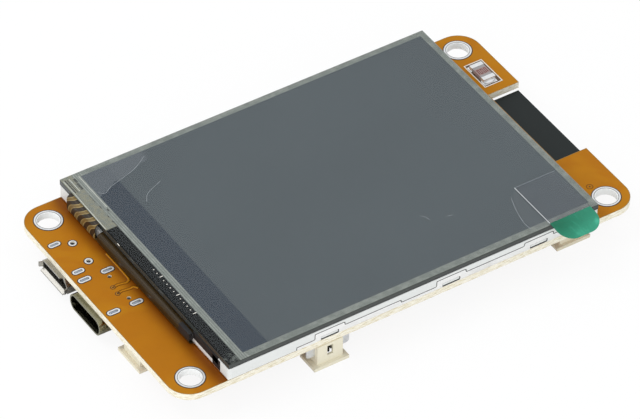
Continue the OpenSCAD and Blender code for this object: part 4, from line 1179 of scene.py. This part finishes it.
@dataclass
class Carrier(Assembly):
    """The long amber board with its copper, its printed lines and its solder."""

    print_width: float = 0.16 * MM
    print_height: float = 0.015 * MM
    print_margin: float = 0.45 * MM
    gap_width: float = 0.17 * MM
    rim_width: float = 0.1 * MM
    ring_from: float = 3.5 * MM
    plated_to: float = 2.0
    lip_radius: float = 1.98 * MM
    lip_width: float = 0.13 * MM
    slot_from: float = 0.2 * MM
    solder_inset: float = 0.56 * MM
    solder_rise: float = 0.11 * MM
    solder_sink: float = 0.02 * MM
    track_width: float = 0.34 * MM
    track_gap: float = 0.62 * MM
    under_width: float = 0.3 * MM
    pad_height: float = 0.03
    via_size: float = 0.75
    via_ring: float = 0.1 * MM
    via_hole: Size3 = (0.28, 0.28, 0.02)
    under_via: float = 0.6
    fiducial: Point2 = (38.1, -17.7)
    fiducial_size: float = 1.05 * MM
    fiducial_width: float = 0.12 * MM
    sensor_low: Point2 = (37.6, 11.0)
    sensor_high: Point2 = (40.95, 17.05)
    ground_inset: float = 0.1
    ground_height: float = 0.01
    ground_sink: float = 0.005 * MM
    cap_shift: float = 0.3 * MM
    cap_pad: Point2 = (2.5, 1.2)
    cap_solder: Size3 = (2.1, 1.1, 0.7)
    cap_sink: float = 0.25 * MM
    zigzag_turns: int = 5
    zigzag_reach: Point2 = (0.36, 0.13)
    zigzag_lift: float = 0.01 * MM
    zigzag_width: float = 0.16 * MM

    def build(self) -> None:
        """Dresses the board and adds its fine pieces."""
        board = node_box("main_board")
        self.top, self.low = board.high.z, board.low.z
        self.lands = node_islands(self.nodes["tinned_lands"])
        upper = [land for land in self.lands if land.centre.z > self.top / 2]
        self.rings = [land for land in upper if land.size.x > self.ring_from]
        self.legs = [land for land in upper if abs(land.size.x - land.size.y) > self.slot_from]
        self._hole_edges()
        holes = tuple((ring.centre.x / MM, ring.centre.y / MM) for ring in self.rings)
        display_end = node_box("lcd_frame").low.x / MM
        amber = BoardFinish("amber_board", board.size.z, display_end, holes, self.plated_to)
        self.dress({"main_board": amber, "tinned_lands": TIN, "mounting_tape": FOAM_TAPE})
        self._openings()
        self._rim()
        self._solder()
        self._tracks()
        self._vias()
        self._sensor()
        self._sensor_track()
        self._underside()

    def _hole_edges(self) -> None:
        """Draws the grey lip where each mounting hole's plating turns over its edge."""
        size = (2 * self.lip_radius, 2 * self.lip_radius)
        places = [Vector((ring.centre.x, ring.centre.y, ring.high.z)) for ring in self.rings]
        paths = [oval(place, size, 64) for place in places]
        self.shop.ribbon(
            "hole_lips", "tinned_copper", PLATED_LIP, paths, self.lip_width, self.print_height, True
        )

    def _openings(self) -> None:
        """Lays a dark line round each tinned land, where the mask stops short of it: a real gap of
        bare laminate, drawn dark as painted shade.
        """
        half = self.print_height / 2
        grow = Vector((self.gap_width, self.gap_width, 0))
        paths = []
        for land in self.lands:
            z = self.top + half if land.centre.z > self.top / 2 else self.low - half
            paths.append(oval(Vector((land.centre.x, land.centre.y, z)), land.size + grow, 48))
        self.shop.ribbon(
            "mask_openings", "black_tape", GAP_SHADE, paths, self.gap_width, self.print_height, True
        )

    def _rim(self) -> None:
        """Draws the thin bare line where the mask stops short of the board's edge."""
        loop = inset_loop(outer_loop(self.nodes["main_board"], self.top), self.rim_width / 2)
        z = self.top + self.print_height / 3
        path = [Vector((point.x, point.y, z)) for point in loop]
        height = self.print_height / 2
        self.shop.ribbon("mask_rim", "orange_board", MASK_RIM, [path], self.rim_width, height, True)

    def _solder(self) -> None:
        """Fills the sockets' leg slots with solder that domes over the legs."""
        fills = []
        for land in self.legs:
            size = land.size - Vector((self.solder_inset, self.solder_inset, 0))
            centre = Vector((land.centre.x, land.centre.y, self.top - self.solder_sink))
            half = Vector((size.x / 2, size.y / 2, self.solder_rise))
            fills.append(Block(centre - half, centre + half))
        self.shop.stamp("leg_solder", "tinned_copper", DULL_SOLDER, Stamp.DOME, fills)

    def _tracks(self) -> None:
        """Lays the copper that shows through the mask behind the USB-C socket."""
        height = self.print_height
        for name, finish, width, z in (
            ("track_gaps", MASKED_GAP, self.track_gap, self.top + height / 2),
            ("tracks", MASKED_COPPER, self.track_width, self.top + height * 1.5),
        ):
            paths = level_runs(TRACK_RUNS, z)
            self.shop.ribbon(name, "orange_board", finish, paths, width, height)

    def _vias(self) -> None:
        """Ends the tracks in vias, with dark rings and holes of painted shade, and sets the round
        mark at the antenna end.
        """
        wide, high = self.via_size, self.pad_height
        pads = [block_at(x, y, self.top, (wide, wide, high)) for x, y in VIAS]
        self.shop.stamp("via_pads", "orange_board", MASKED_COPPER, Stamp.DISC, pads)
        rings = [oval(at(x, y, self.top + high * MM), (wide * MM, wide * MM), 24) for x, y in VIAS]
        self.shop.ribbon(
            "via_rings", "black_tape", GAP_SHADE, rings, self.via_ring, 0.2 * self.via_ring, True
        )
        middle = at(*self.fiducial, self.top + self.print_height / 2)
        mark = [oval(middle, (self.fiducial_size, self.fiducial_size), 32)]
        width = self.fiducial_width
        self.shop.ribbon(
            "fiducial", "orange_board", MASKED_GAP, mark, width, self.print_height, True
        )
        # The dark discs in the vias and in the mark are painted shade down their holes
        z = self.top + self.via_hole[2] * MM
        holes = [block_at(x, y, z, self.via_hole) for x, y in (*VIAS, self.fiducial)]
        self.shop.stamp("via_holes", "black_tape", GAP_SHADE, Stamp.DISC, holes)

    def _sensor(self) -> None:
        """Dresses the light sensor, prints the box round it and solders its caps."""
        body = node_box("light_sensor")
        ceramic = SensorFinish("sensor_ceramic", body.centre.y / MM, body.size.y / 2 / MM)
        self.dress({"light_sensor": ceramic, "light_sensor_caps": TIN})
        low, high = Vector(self.sensor_low), Vector(self.sensor_high)
        inset = self.ground_inset
        size = (high.x - low.x - inset, high.y - low.y - inset, self.ground_height)
        ground = [block_at(*((low + high) / 2), self.top - self.ground_sink, size)]
        self.shop.stamp("sensor_ground", "orange_board", SENSOR_GROUND, Stamp.BLOCK, ground)
        box = level_runs([corners(low, high)], self.top + self.print_height)
        width = 1.5 * self.print_width
        self.shop.ribbon(
            "sensor_print", "white_frame", WHITE_INK, box, width, self.print_height, True
        )
        pads, fillets = [], []
        for cap in node_islands(self.nodes["light_sensor_caps"]):
            outward = math.copysign(1, cap.centre.y - body.centre.y)
            x, y = cap.centre.x / MM, (cap.centre.y + outward * self.cap_shift) / MM
            pads.append(block_at(x, y, self.top, (*self.cap_pad, self.pad_height)))
            fillets.append(block_at(x, y, self.top - self.cap_sink, self.cap_solder))
        self.shop.stamp("sensor_pads", "tinned_copper", TIN, Stamp.BLOCK, pads)
        self.shop.stamp("sensor_solder", "tinned_copper", TIN, Stamp.DOME, fillets)

    def _sensor_track(self) -> None:
        """Lays the light cell's zigzag across the sensor's window."""
        body = node_box("light_sensor")
        rise, reach = body.size.x * self.zigzag_reach[0], body.size.y * self.zigzag_reach[1]
        z = body.high.z + self.zigzag_lift
        path = []
        for i in range(self.zigzag_turns + 1):
            x = body.centre.x - rise + 2 * rise * i / self.zigzag_turns
            ends = (-reach, reach) if i % 2 == 0 else (reach, -reach)
            path.extend(Vector((x, body.centre.y + end, z)) for end in ends)
        width = self.zigzag_width
        self.shop.ribbon(
            "sensor_zigzag", "sensor_ceramic", SENSOR_TRACK, [path], width, width / 8
        )

    def _underside(self) -> None:
        """Lays tracks, vias and printed boxes under the board."""
        z = self.low - self.print_height / 2
        paths, width, height = level_runs(UNDER_RUNS, z), self.under_width, self.print_height
        self.shop.ribbon("under_tracks", "orange_board", MASKED_COPPER, paths, width, height)
        size = (self.under_via, self.under_via, self.pad_height)
        foot = self.low - self.pad_height * MM
        vias = [block_at(*run[i], foot, size) for run in UNDER_RUNS for i in (0, -1)]
        self.shop.stamp("under_vias", "tinned_copper", TIN, Stamp.DISC, vias)
        boxes = []
        grow = Vector((self.print_margin,) * 3)
        for part in map(node_box, PRINTED_NODES):
            outline = corners(part.low - grow, part.high + grow)
            boxes.append([Vector((x, y, z)) for x, y in outline])
        width = self.print_width
        self.shop.ribbon("under_print", "white_frame", WHITE_INK, boxes, width, height, True)


# Copper that shows behind the USB-C socket: the points of each run, in millimetres
TRACK_RUNS: list[list[Point2]] = [
    [
        *((-38.5, 2.4), (-37.5, 2.55), (-36.1, 2.25), (-35.55, 2.45)),
        *((-35.35, 2.9), (-35.28, 5.7), (-35.3, 9.6)),
    ],
    [(-38.6, 0.8), (-37.8, 1.0), (-37.0, 0.9), (-36.4, 0.8), (-35.7, 0.9), (-35.2, 0.25)],
]
VIAS: list[Point2] = [(-38.5, 2.4), (-38.6, 0.8)]
# Tracks under the board
UNDER_RUNS: list[list[Point2]] = [
    [(-27.0, 8.6), (-24.5, 11.0), (-18.5, 11.0), (-16.8, 12.6)],
    [(-25.5, -3.0), (-20.0, -3.0), (-17.5, -5.5), (-17.5, -19.5)],
    [(-24.8, 0.4), (-12.0, 0.4), (-9.6, 2.8)],
    [(-2.3, 6.4), (1.6, 6.4), (3.4, 4.6), (12.6, 4.6), (14.2, 3.0)],
    [(4.6, -7.0), (4.6, -4.0), (2.0, -1.4), (-4.0, -1.4)],
    [(12.6, -7.0), (12.6, -3.0), (14.2, -1.4)],
    [(30.0, 14.8), (30.0, 12.4), (28.0, 10.4)],
    [(32.4, -17.6), (32.4, -13.0), (30.6, -11.2)],
    [(-36.4, -7.0), (-34.6, -4.6), (-34.6, -2.0)],
    [(-12.0, -20.0), (-12.0, -12.0), (-8.0, -8.0), (-8.0, -3.0)],
]
# Parts under the board that stand in a printed box
PRINTED_NODES = ("usb_serial_chip", "touch_controller", "audio_amplifier", "regulator", "rgb_lamp")


@dataclass
class DisplayUnit(Assembly):
    """The display: steel back shell, white frame, cell, touch panel, flexes and films."""

    fold: float = 0.2 * MM
    seam_width: float = 0.15 * MM
    seam_proud: float = 0.004 * MM
    seam_ease: float = 0.28 * MM
    window_ease: float = 0.25 * MM
    window_start: Point2 = (0.1 * MM, 0.05 * MM)
    window_end: Point2 = (0.04 * MM, 0.12 * MM)
    corner: float = 3.0 * MM
    exit_drop: float = 1.35 * MM
    exit_proud: float = 0.02 * MM
    exit_depth: float = 0.1 * MM
    glint_y: float = 7.2
    glint_size: Size3 = (0.1, 0.8, 0.2)
    glint_drop: float = 0.22 * MM
    air_gap: float = 0.015 * MM
    tick_count: int = 13
    first_tick: float = -0.7
    tick_pitch: float = 0.975
    tick_size: Point2 = (0.14, 0.008)
    long_tick: Point2 = (-32.78, 0.6)
    short_tick: Point2 = (-32.95, 0.2)
    mark_height: float = 0.006
    line_width: float = 0.13 * MM
    line_height: float = 0.008 * MM
    edge_width: float = 0.12 * MM
    edge_height: float = 0.02 * MM
    far_width: float = 0.08 * MM
    scuff_width: float = 0.07 * MM
    scuff_height: float = 0.006 * MM
    scuff_ease: float = 2.0

    def build(self) -> None:
        """Dresses the display's solids and adds its marks."""
        self.tape, self.panel = node_box("pull_tab_tape"), node_box("touch_film")
        film = FilmFinish("protective_film", tone(130, 136, 140), 0.033, 0.08, self.tape.low.x / MM)
        strip = FilmFinish("tab_tape", tone(124, 130, 138), 0.12, roughness=0.3)
        # The third tone of each flex is its painted highlight
        browns = (tone(60, 44, 18), tone(26, 21, 12), tone(94, 76, 42))
        ambers = (tone(112, 92, 52), tone(46, 38, 28), tone(176, 156, 108))
        tail_y = node_box("touch_tail").centre.y / MM
        self.dress(
            {
                "lcd_back_shell": STEEL,
                "lcd_frame": WHITE_MOULDING,
                "reflector_sheet": WHITE_FILM,
                "light_guide": CLEAR_PLASTIC,
                "diffuser_sheet": WHITE_FILM,
                "lower_prism_sheet": CLEAR_PLASTIC,
                "upper_prism_sheet": CLEAR_PLASTIC,
                "backlight_strip": STRIP_FLEX,
                "backlight_lamps": LAMP_PHOSPHOR,
                "light_block_tape": BLACK_TAPE,
                "rear_polariser": POLARISER,
                "tft_glass": CELL_GLASS,
                "colour_filter_glass": CELL_GLASS,
                "front_polariser": POLARISER,
                "driver_chip": SILICON,
                "display_flex": FlexFinish("display_flex", *browns, 0.24, 0.5, gloss=0.05),
                "touch_gasket": GASKET,
                "touch_glass": TOUCH_GLASS,
                "touch_film": PanelMarks("panel_marks", self.panel.high.z / MM),
                "touch_tail": FlexFinish("touch_tail", *ambers, 1.9, 0.55, 0.75, 0.3, tail_y),
                "protective_film": film,
                "pull_tab_tape": strip,
            }
        )
        sheet, tape = self.nodes["protective_film"], self.nodes["pull_tab_tape"]
        self.shop.lifted_copy("film_sheet", "cover_film", film, sheet, self.air_gap)
        self.shop.lifted_copy("tape_strip", "clear_tape", strip, tape, self.air_gap)
        self._wall_seams()
        self._ticks()
        self._bond_marks()
        self._exit()
        self._film_edges()
        self._scuffs()

    def _wall_seams(self) -> None:
        """Draws the seams along the steel walls' stepped tops and round their windows as dark lines
        of painted shadow.
        """
        box = node_box("lcd_back_shell")
        sunk = self.seam_width / 2 - self.seam_proud
        paths = []
        for across, level, outward in (
            (1, box.low.y, -1),
            (1, box.high.y, 1),
            (0, box.high.x, 1),
        ):
            wall = read_wall(self.nodes["lcd_back_shell"], across, level, box.low.z + self.fold)
            place = level - outward * sunk
            lines = [ease(wall.top, self.seam_ease)]
            for start, end, low, high in wall.windows:
                start, low = start + self.window_start[0], low + self.window_start[1]
                end, high = end - self.window_end[0], high - self.window_end[1]
                lines.append(ease([(start, low), (end, low), (end, high)], self.window_ease))
            for line in lines:
                spots = [(a, place, h) if across == 1 else (place, a, h) for a, h in line]
                paths.append([Vector(spot) for spot in spots])
        width = self.seam_width
        self.shop.ribbon("wall_seams", "black_tape", SEAM_SHADOW, paths, width, width)

    def _ticks(self) -> None:
        """Sets the small white ticks on the black strip, every fifth one long."""
        ticks = []
        for i in range(self.tick_count):
            x, length = self.long_tick if i % 5 == 2 else self.short_tick
            y = self.first_tick - i * self.tick_pitch
            ticks.append(block_at(x, y, self.panel.high.z, (length, *self.tick_size)))
        self.shop.stamp("bond_ticks", "white_frame", WHITE_INK, Stamp.BLOCK, ticks)

    def _bond_marks(self) -> None:
        """Sets the dark bars and spots and the pale lines of the tail's bond."""
        top, high = self.panel.high.z, self.mark_height
        for name, stamp, marks in (
            ("bond_bars", Stamp.BLOCK, BOND_BARS),
            ("bond_spots", Stamp.DISC, BOND_SPOTS),
        ):
            blocks = [block_at(x, y, top, (wide, long, high)) for x, y, wide, long in marks]
            self.shop.stamp(name, "black_tape", BOND_DARK, stamp, blocks)
        lines, height = level_runs(BOND_LINES, top + self.line_height / 2), self.line_height
        self.shop.ribbon("bond_lines", "white_frame", BOND_PALE, lines, self.line_width, height)

    def _exit(self) -> None:
        """Darkens the frame's open end beside the flex with dark blocks, and adds an edge glint as
        a painted highlight.
        """
        frame, flex = node_box("lcd_frame"), node_box("display_flex")
        near, face, top = frame.low.y + self.corner, frame.low.x, frame.high.z
        proud, deep, side = face - self.exit_proud, face + self.exit_depth, flex.low.y
        lows = (
            (proud, near + 0.02 * MM, top - self.exit_drop),
            (proud, near - 0.6 * MM, frame.low.z),
            (flex.low.x - 0.03 * MM, side - 0.1 * MM, frame.low.z + 0.5 * MM),
        )
        highs = (
            (deep, side - 0.05 * MM, top),
            (deep, near + 1.6 * MM, top - 0.2 * MM),
            (face - self.exit_depth, side + 2.9 * MM, top - 0.25 * MM),
        )
        blocks = [Block(Vector(low), Vector(high)) for low, high in zip(lows, highs)]
        # Dark blocks in the black tape's finish; they only darken this end
        self.shop.stamp("exit_tape", "black_tape", BLACK_TAPE, Stamp.BLOCK, blocks)
        # Painted highlight: a small white dome on the panel's edge stands for a glint
        x, z = self.panel.low.x / MM - 0.01, self.panel.high.z - self.glint_drop
        glint = [block_at(x, self.glint_y, z, self.glint_size)]
        self.shop.stamp("edge_glint", "white_frame", WHITE_INK, Stamp.DOME, glint)

    def _film_edges(self) -> None:
        """Lays a bright painted highlight along the tape's cut edge and a dull one across its end.
        """
        low, high = self.tape.low, self.tape.high
        near, far, end = (
            Vector((x, y, high.z)) for x, y in ((low.x, low.y), (low.x, high.y), (high.x, high.y))
        )
        for name, finish, path, width in (
            ("tape_edge", EDGE_HIGHLIGHT, [near, far], self.edge_width),
            ("tape_end", RIM_HIGHLIGHT, [far, end], self.far_width),
        ):
            self.shop.ribbon(name, "clear_tape", finish, [path], width, self.edge_height)

    def _scuffs(self) -> None:
        """Lays the fine curved scuffs in the protective film."""
        z = node_box("protective_film").high.z
        paths = level_runs([ease(line, self.scuff_ease) for line in SCUFFS], z)
        width, height = self.scuff_width, self.scuff_height
        self.shop.ribbon("film_scuffs", "cover_film", FILM_SCUFF, paths, width, height)


# Bars and spots of the tail's bond: the middle in X and Y, then the size, in millimetres
BOND_BARS: list[Bar] = [
    (-32.5, 23.4, 0.42, 1.0),
    (-32.6, 21.9, 0.36, 1.7),
    (-33.95, 22.6, 0.22, 3.4),
    (-33.6, 22.5, 0.14, 3.4),
    (-34.55, 22.5, 0.12, 2.8),
    (-32.5, 18.3, 0.1, 1.9),
    (-32.45, 11.3, 0.12, 1.6),
]
BOND_SPOTS: list[Bar] = [
    (-32.4, 16.0, 0.22, 0.7),
    (-31.75, 14.8, 0.3, 0.75),
    (-32.5, 13.5, 0.2, 0.55),
    (-32.5, 12.1, 0.24, 0.5),
]
BOND_LINES: list[list[Point2]] = [
    [(-34.25, 24.2), (-34.25, 20.6), (-34.4, 11.2)],
    [(-33.2, 24.2), (-33.2, 20.9)],
    [(-31.55, 24.0), (-31.55, 15.5)],
]
# Scuffs in the film over the picture
SCUFFS: list[list[Point2]] = [
    [(-25.6, 13.2), (-24.6, 14.8), (-22.8, 15.5), (-21.2, 16.2)],
    [(-31.0, 19.0), (-30.2, 18.1), (-28.6, 19.2), (-25.2, 20.1), (-22.8, 20.9), (-20.2, 22.6)],
    [(8.8, -12.2), (9.6, -12.9), (9.8, -13.9)],
    [(12.4, -14.6), (13.6, -14.9)],
    [(-21.8, -14.4), (-21.4, -15.2)],
    [(23.6, -16.4), (22.5, -19.4), (21.9, -22.6), (22.1, -24.2)],
]


@dataclass
class PullTab(Assembly):
    """The green grip of the protective film, which hangs over the near side."""

    def build(self) -> None:
        """Dresses the grip."""
        grip = node_box("pull_tab_grip")
        finish = TabFinish("green_tab", grip.low.x / MM, grip.high.x / MM)
        self.dress({"pull_tab_grip": finish})


@dataclass
class Sockets(Assembly):
    """The two USB sockets, the four wire headers and the card slot under the board."""

    def build(self) -> None:
        """Dresses the sockets, headers and card slot."""
        headers = [f"{use}_header" for use in ("power", "io", "sensor", "speaker")]
        self.dress(
            {
                **dict.fromkeys(headers, CREAM_NYLON),
                "usb_c_shell": PAINTED_REFLECTION_STEEL,
                "usb_c_tongue": BLACK_NYLON,
                "usb_c_contacts": GOLD,
                "micro_usb_shell": DARK_STEEL,
                "micro_usb_tongue": BLACK_NYLON,
                "micro_usb_contacts": GOLD,
                # The header contacts are darkened as painted shade
                "header_contacts": TIN_IN_SHADE,
                "header_nails": TIN,
                "card_slot_base": BLACK_NYLON,
                "card_slot_cover": BRIGHT_STEEL,
                "card_slot_contacts": GOLD,
            }
        )


@dataclass
class WirelessModule(Assembly):
    """The module under the antenna end: black board, shield can, edge pads and antenna."""

    turns: int = 5
    line: float = 0.4 * MM
    height: float = 0.02 * MM
    feed: float = 0.2 * MM
    ends: Point2 = (0.8 * MM, 0.6 * MM)
    sides: Point2 = (1.5 * MM, 3.5 * MM)
    pad_pitch: float = 1.27
    pad_size: Point2 = (0.8, 0.55)
    pad_gap: float = 0.3
    pad_start: float = 1.5
    end_pads: int = 10

    def build(self) -> None:
        """Dresses the module and lays its antenna and pads."""
        self.dress({"module_board": MODULE_MASK, "module_shield_can": CAN_STEEL})
        self.board, self.can = node_box("module_board"), node_box("module_shield_can")
        self.z = self.board.low.z - self.height / 2
        self._antenna()
        self._pads()

    def _antenna(self) -> None:
        """Lays the antenna's folded line on the bare end."""
        board, can, z = self.board, self.can, self.z
        x0, x1 = can.high.x + self.ends[0], board.high.x - self.ends[1]
        y0, y1 = board.low.y + self.sides[0], board.high.y - self.sides[1]
        step = (y1 - y0) / self.turns
        path = [(can.high.x + self.feed, y0)]
        for y in (y0 + i * step for i in range(self.turns)):
            path += [(x1, y), (x1, y + step / 2), (x0, y + step / 2), (x0, y + step)]
        path.append((x1, y1))
        points = [Vector((x, y, z)) for x, y in path]
        self.shop.ribbon("antenna", "gold_contact", GOLD, [points], self.line, self.height)

    def _pads(self) -> None:
        """Lays the tinned pads behind the module's half holes."""
        wide, deep = self.pad_size
        high = self.height / MM
        inset = self.pad_gap + deep / 2
        low, top, middle = (v / MM for v in (self.board.low, self.board.high, self.board.centre))
        pads = []
        x = low.x + self.pad_start
        while x < self.can.high.x / MM:
            for edge in (low.y + inset, top.y - inset):
                pads.append(block_at(x, edge, self.z, (wide, deep, high)))
            x += self.pad_pitch
        for i in range(self.end_pads):
            y = middle.y + (i - (self.end_pads - 1) / 2) * self.pad_pitch
            pads.append(block_at(low.x + inset, y, self.z, (deep, wide, high)))
        self.shop.stamp("module_pads", "tinned_copper", TIN, Stamp.BLOCK, pads)


@dataclass
class SmallParts(Assembly):
    """Chips, switches, the lamp and the rows of small parts under the board."""

    end_share: float = 0.24
    end_proud: float = 0.02 * MM
    dimple_inset: float = 0.75
    dimple: Size3 = (0.6, 0.6, 0.01)
    dimpled: tuple[str, ...] = ("usb_serial_chip", "touch_controller", "audio_amplifier")

    def build(self) -> None:
        """Dresses the small parts and adds their metal ends and dimples."""
        plan = dict.fromkeys((*self.dimpled, "regulator", "small_transistors"), EPOXY)
        for switch in ("boot", "reset"):
            plan[f"{switch}_switch_base"] = BLACK_NYLON
            plan[f"{switch}_switch_cover"] = STEEL
            plan[f"{switch}_button"] = BUTTON
        plan["switch_terminals"] = TIN
        plan["rgb_lamp"] = LAMP_PACKAGE
        plan["chip_resistors"] = RESISTOR_GLAZE
        plan["chip_capacitors"] = CAPACITOR_BODY
        self.dress(plan)
        self._ends()
        self._dimples()

    def _ends(self) -> None:
        """Puts tinned ends on every chip resistor and capacitor."""
        ends = []
        proud = Vector((self.end_proud,) * 3)
        for name in ("chip_resistors", "chip_capacitors"):
            for part in node_islands(self.nodes[name]):
                axis = 0 if part.size.x > part.size.y else 1
                length = part.size[axis] * self.end_share
                for first in (True, False):
                    low, high = part.low.copy(), part.high.copy()
                    if first:
                        high[axis] = low[axis] + length
                    else:
                        low[axis] = high[axis] - length
                    low, high = low - proud, high + proud
                    high.z = part.high.z
                    ends.append(Block(low, high))
        self.shop.stamp("chip_ends", "tinned_copper", TIN, Stamp.BLOCK, ends)

    def _dimples(self) -> None:
        """Marks the first pin of each chip with a shallow round dimple."""
        dimples = []
        for name in self.dimpled:
            body = max(node_islands(self.nodes[name]), key=lambda part: part.size.x * part.size.y)
            x, y = body.low.x / MM + self.dimple_inset, body.high.y / MM - self.dimple_inset
            dimples.append(block_at(x, y, body.low.z, self.dimple))
        self.shop.stamp("chip_dimples", "chip_epoxy", CHIP_MARK, Stamp.DISC, dimples)


# ---- Studio ----


@dataclass
class Studio:
    """A pale floor, soft light and the camera."""

    target: Vector = field(default_factory=lambda: Vector((-0.53, 1.58, 0.0)) * MM)
    azimuth: float = math.radians(-124.119)
    elevation: float = math.radians(42.194)
    roll: float = math.radians(1.458)
    distance: float = 0.87477
    lens: float = 310.55
    sensor: float = 36.0
    clip: Point2 = (0.05, 20.0)
    sky: float = 0.86
    sky_colour: Tone = (0.97, 0.985, 1.0)
    white: Tone = (1.0, 1.0, 1.0)
    floor_half: float = 3.0
    floor_white: float = 0.9
    floor_colour: Tone = (0.9, 0.9, 0.9)

    def build(self) -> None:
        """Sets the floor, the lights, the world and the camera."""
        self._floor()
        self._world()
        self._lamp("key", Vector((-0.35, 0.35, 0.75)), 0.5, 2.2)
        self._lamp("fill", Vector((-0.5, -0.6, 0.3)), 0.6, 1.9)
        self._camera()
        bpy.context.scene.view_settings.view_transform = "Standard"

    @staticmethod
    def _seen(sheet: ShaderSheet, *rays: str) -> Value:
        """Is 1 for rays of the named kinds."""
        path = sheet.node("ShaderNodeLightPath")
        first, *others = (Value(sheet, path.outputs[f"Is {ray} Ray"]) for ray in rays)
        for other in others:
            first = first.most(other)
        return first

    @staticmethod
    def _blend(sheet: ShaderSheet, end: str, share: Value, first: Node, second: Node) -> None:
        """Ends a tree in two shaders: the first where share is 0, the second where it is 1."""
        values = {0: share, 1: first.outputs[0], 2: second.outputs[0]}
        both = sheet.node("ShaderNodeMixShader", values=values)
        sheet.node(end, values={"Surface": both.outputs[0]})

    def _floor(self) -> None:
        """Lays the floor under the lowest point, and keeps it white to the camera."""
        z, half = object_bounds()[0][2], self.floor_half
        outline = [(x, y, z) for x, y in corners((-half, -half), (half, half))]
        floor = new_piece("studio_floor", outline, faces=[(0, 1, 2, 3)])
        sheet, material = ShaderSheet.for_material("studio_floor")
        cloud = sheet.noise(sheet.spot(), 0.3, 2)
        colour = sheet.shade(self.floor_colour, 0.99 + 0.02 * cloud)
        matte = sheet.node("ShaderNodeBsdfDiffuse", values={"Color": colour})
        glow = sheet.node("ShaderNodeEmission", values={"Color": self.white, "Strength": 1.0})
        share = self._seen(sheet, "Camera", "Transmission") * self.floor_white
        self._blend(sheet, "ShaderNodeOutputMaterial", share, matte, glow)
        floor.data.materials.append(material)
        floor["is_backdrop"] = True

    def _world(self) -> None:
        """Makes the world a soft white sky, plain white where it is seen."""
        world = bpy.data.worlds.new("studio_sky")
        world.use_nodes = True
        bpy.context.scene.world = world
        sheet = ShaderSheet(world.node_tree)
        sky, white = (
            sheet.node("ShaderNodeBackground", values={"Color": colour, "Strength": strength})
            for colour, strength in ((self.sky_colour, self.sky), (self.white, 1.0))
        )
        share = self._seen(sheet, "Camera", "Glossy", "Transmission")
        self._blend(sheet, "ShaderNodeOutputWorld", share, sky, white)

    def _lamp(self, name: str, place: Vector, size: float, power: float) -> None:
        """Hangs one soft square lamp that faces the object.

        Args:
            name: The lamp's name.
            place: Where it hangs.
            size: Its side.
            power: Its power in watts.
        """
        light = bpy.data.lights.new(name, "AREA")
        light.size = size
        light.energy = power
        lamp = bpy.data.objects.new(name, light)
        lamp.location = place
        lamp.rotation_euler = (-place).to_track_quat("-Z", "Y").to_euler()
        bpy.context.scene.collection.objects.link(lamp)

    def _camera(self) -> None:
        """Places the camera, with its small roll."""
        level = math.cos(self.elevation)
        way = Vector(
            (
                level * math.cos(self.azimuth),
                level * math.sin(self.azimuth),
                math.sin(self.elevation),
            )
        )
        data = bpy.data.cameras.new("camera")
        data.sensor_fit = "HORIZONTAL"
        data.sensor_width = self.sensor
        data.lens = self.lens
        data.clip_start, data.clip_end = self.clip
        camera = bpy.data.objects.new("camera", data)
        turn = (-way).to_track_quat("-Z", "Y").to_matrix() @ Matrix.Rotation(self.roll, 3, "Z")
        camera.matrix_world = Matrix.Translation(self.target + way * self.distance) @ turn.to_4x4()
        bpy.context.scene.collection.objects.link(camera)
        bpy.context.scene.camera = camera


def main() -> None:
    """Builds the studio and every sub-assembly in order."""
    logging.basicConfig(level=logging.INFO, format="%(name)s %(message)s")
    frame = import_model()
    Studio().build()
    shop = Workshop()
    for kind in (Carrier, DisplayUnit, PullTab, Sockets, WirelessModule, SmallParts):
        kind(frame["nodes"], shop).build()


if __name__ == "__main__":
    main()
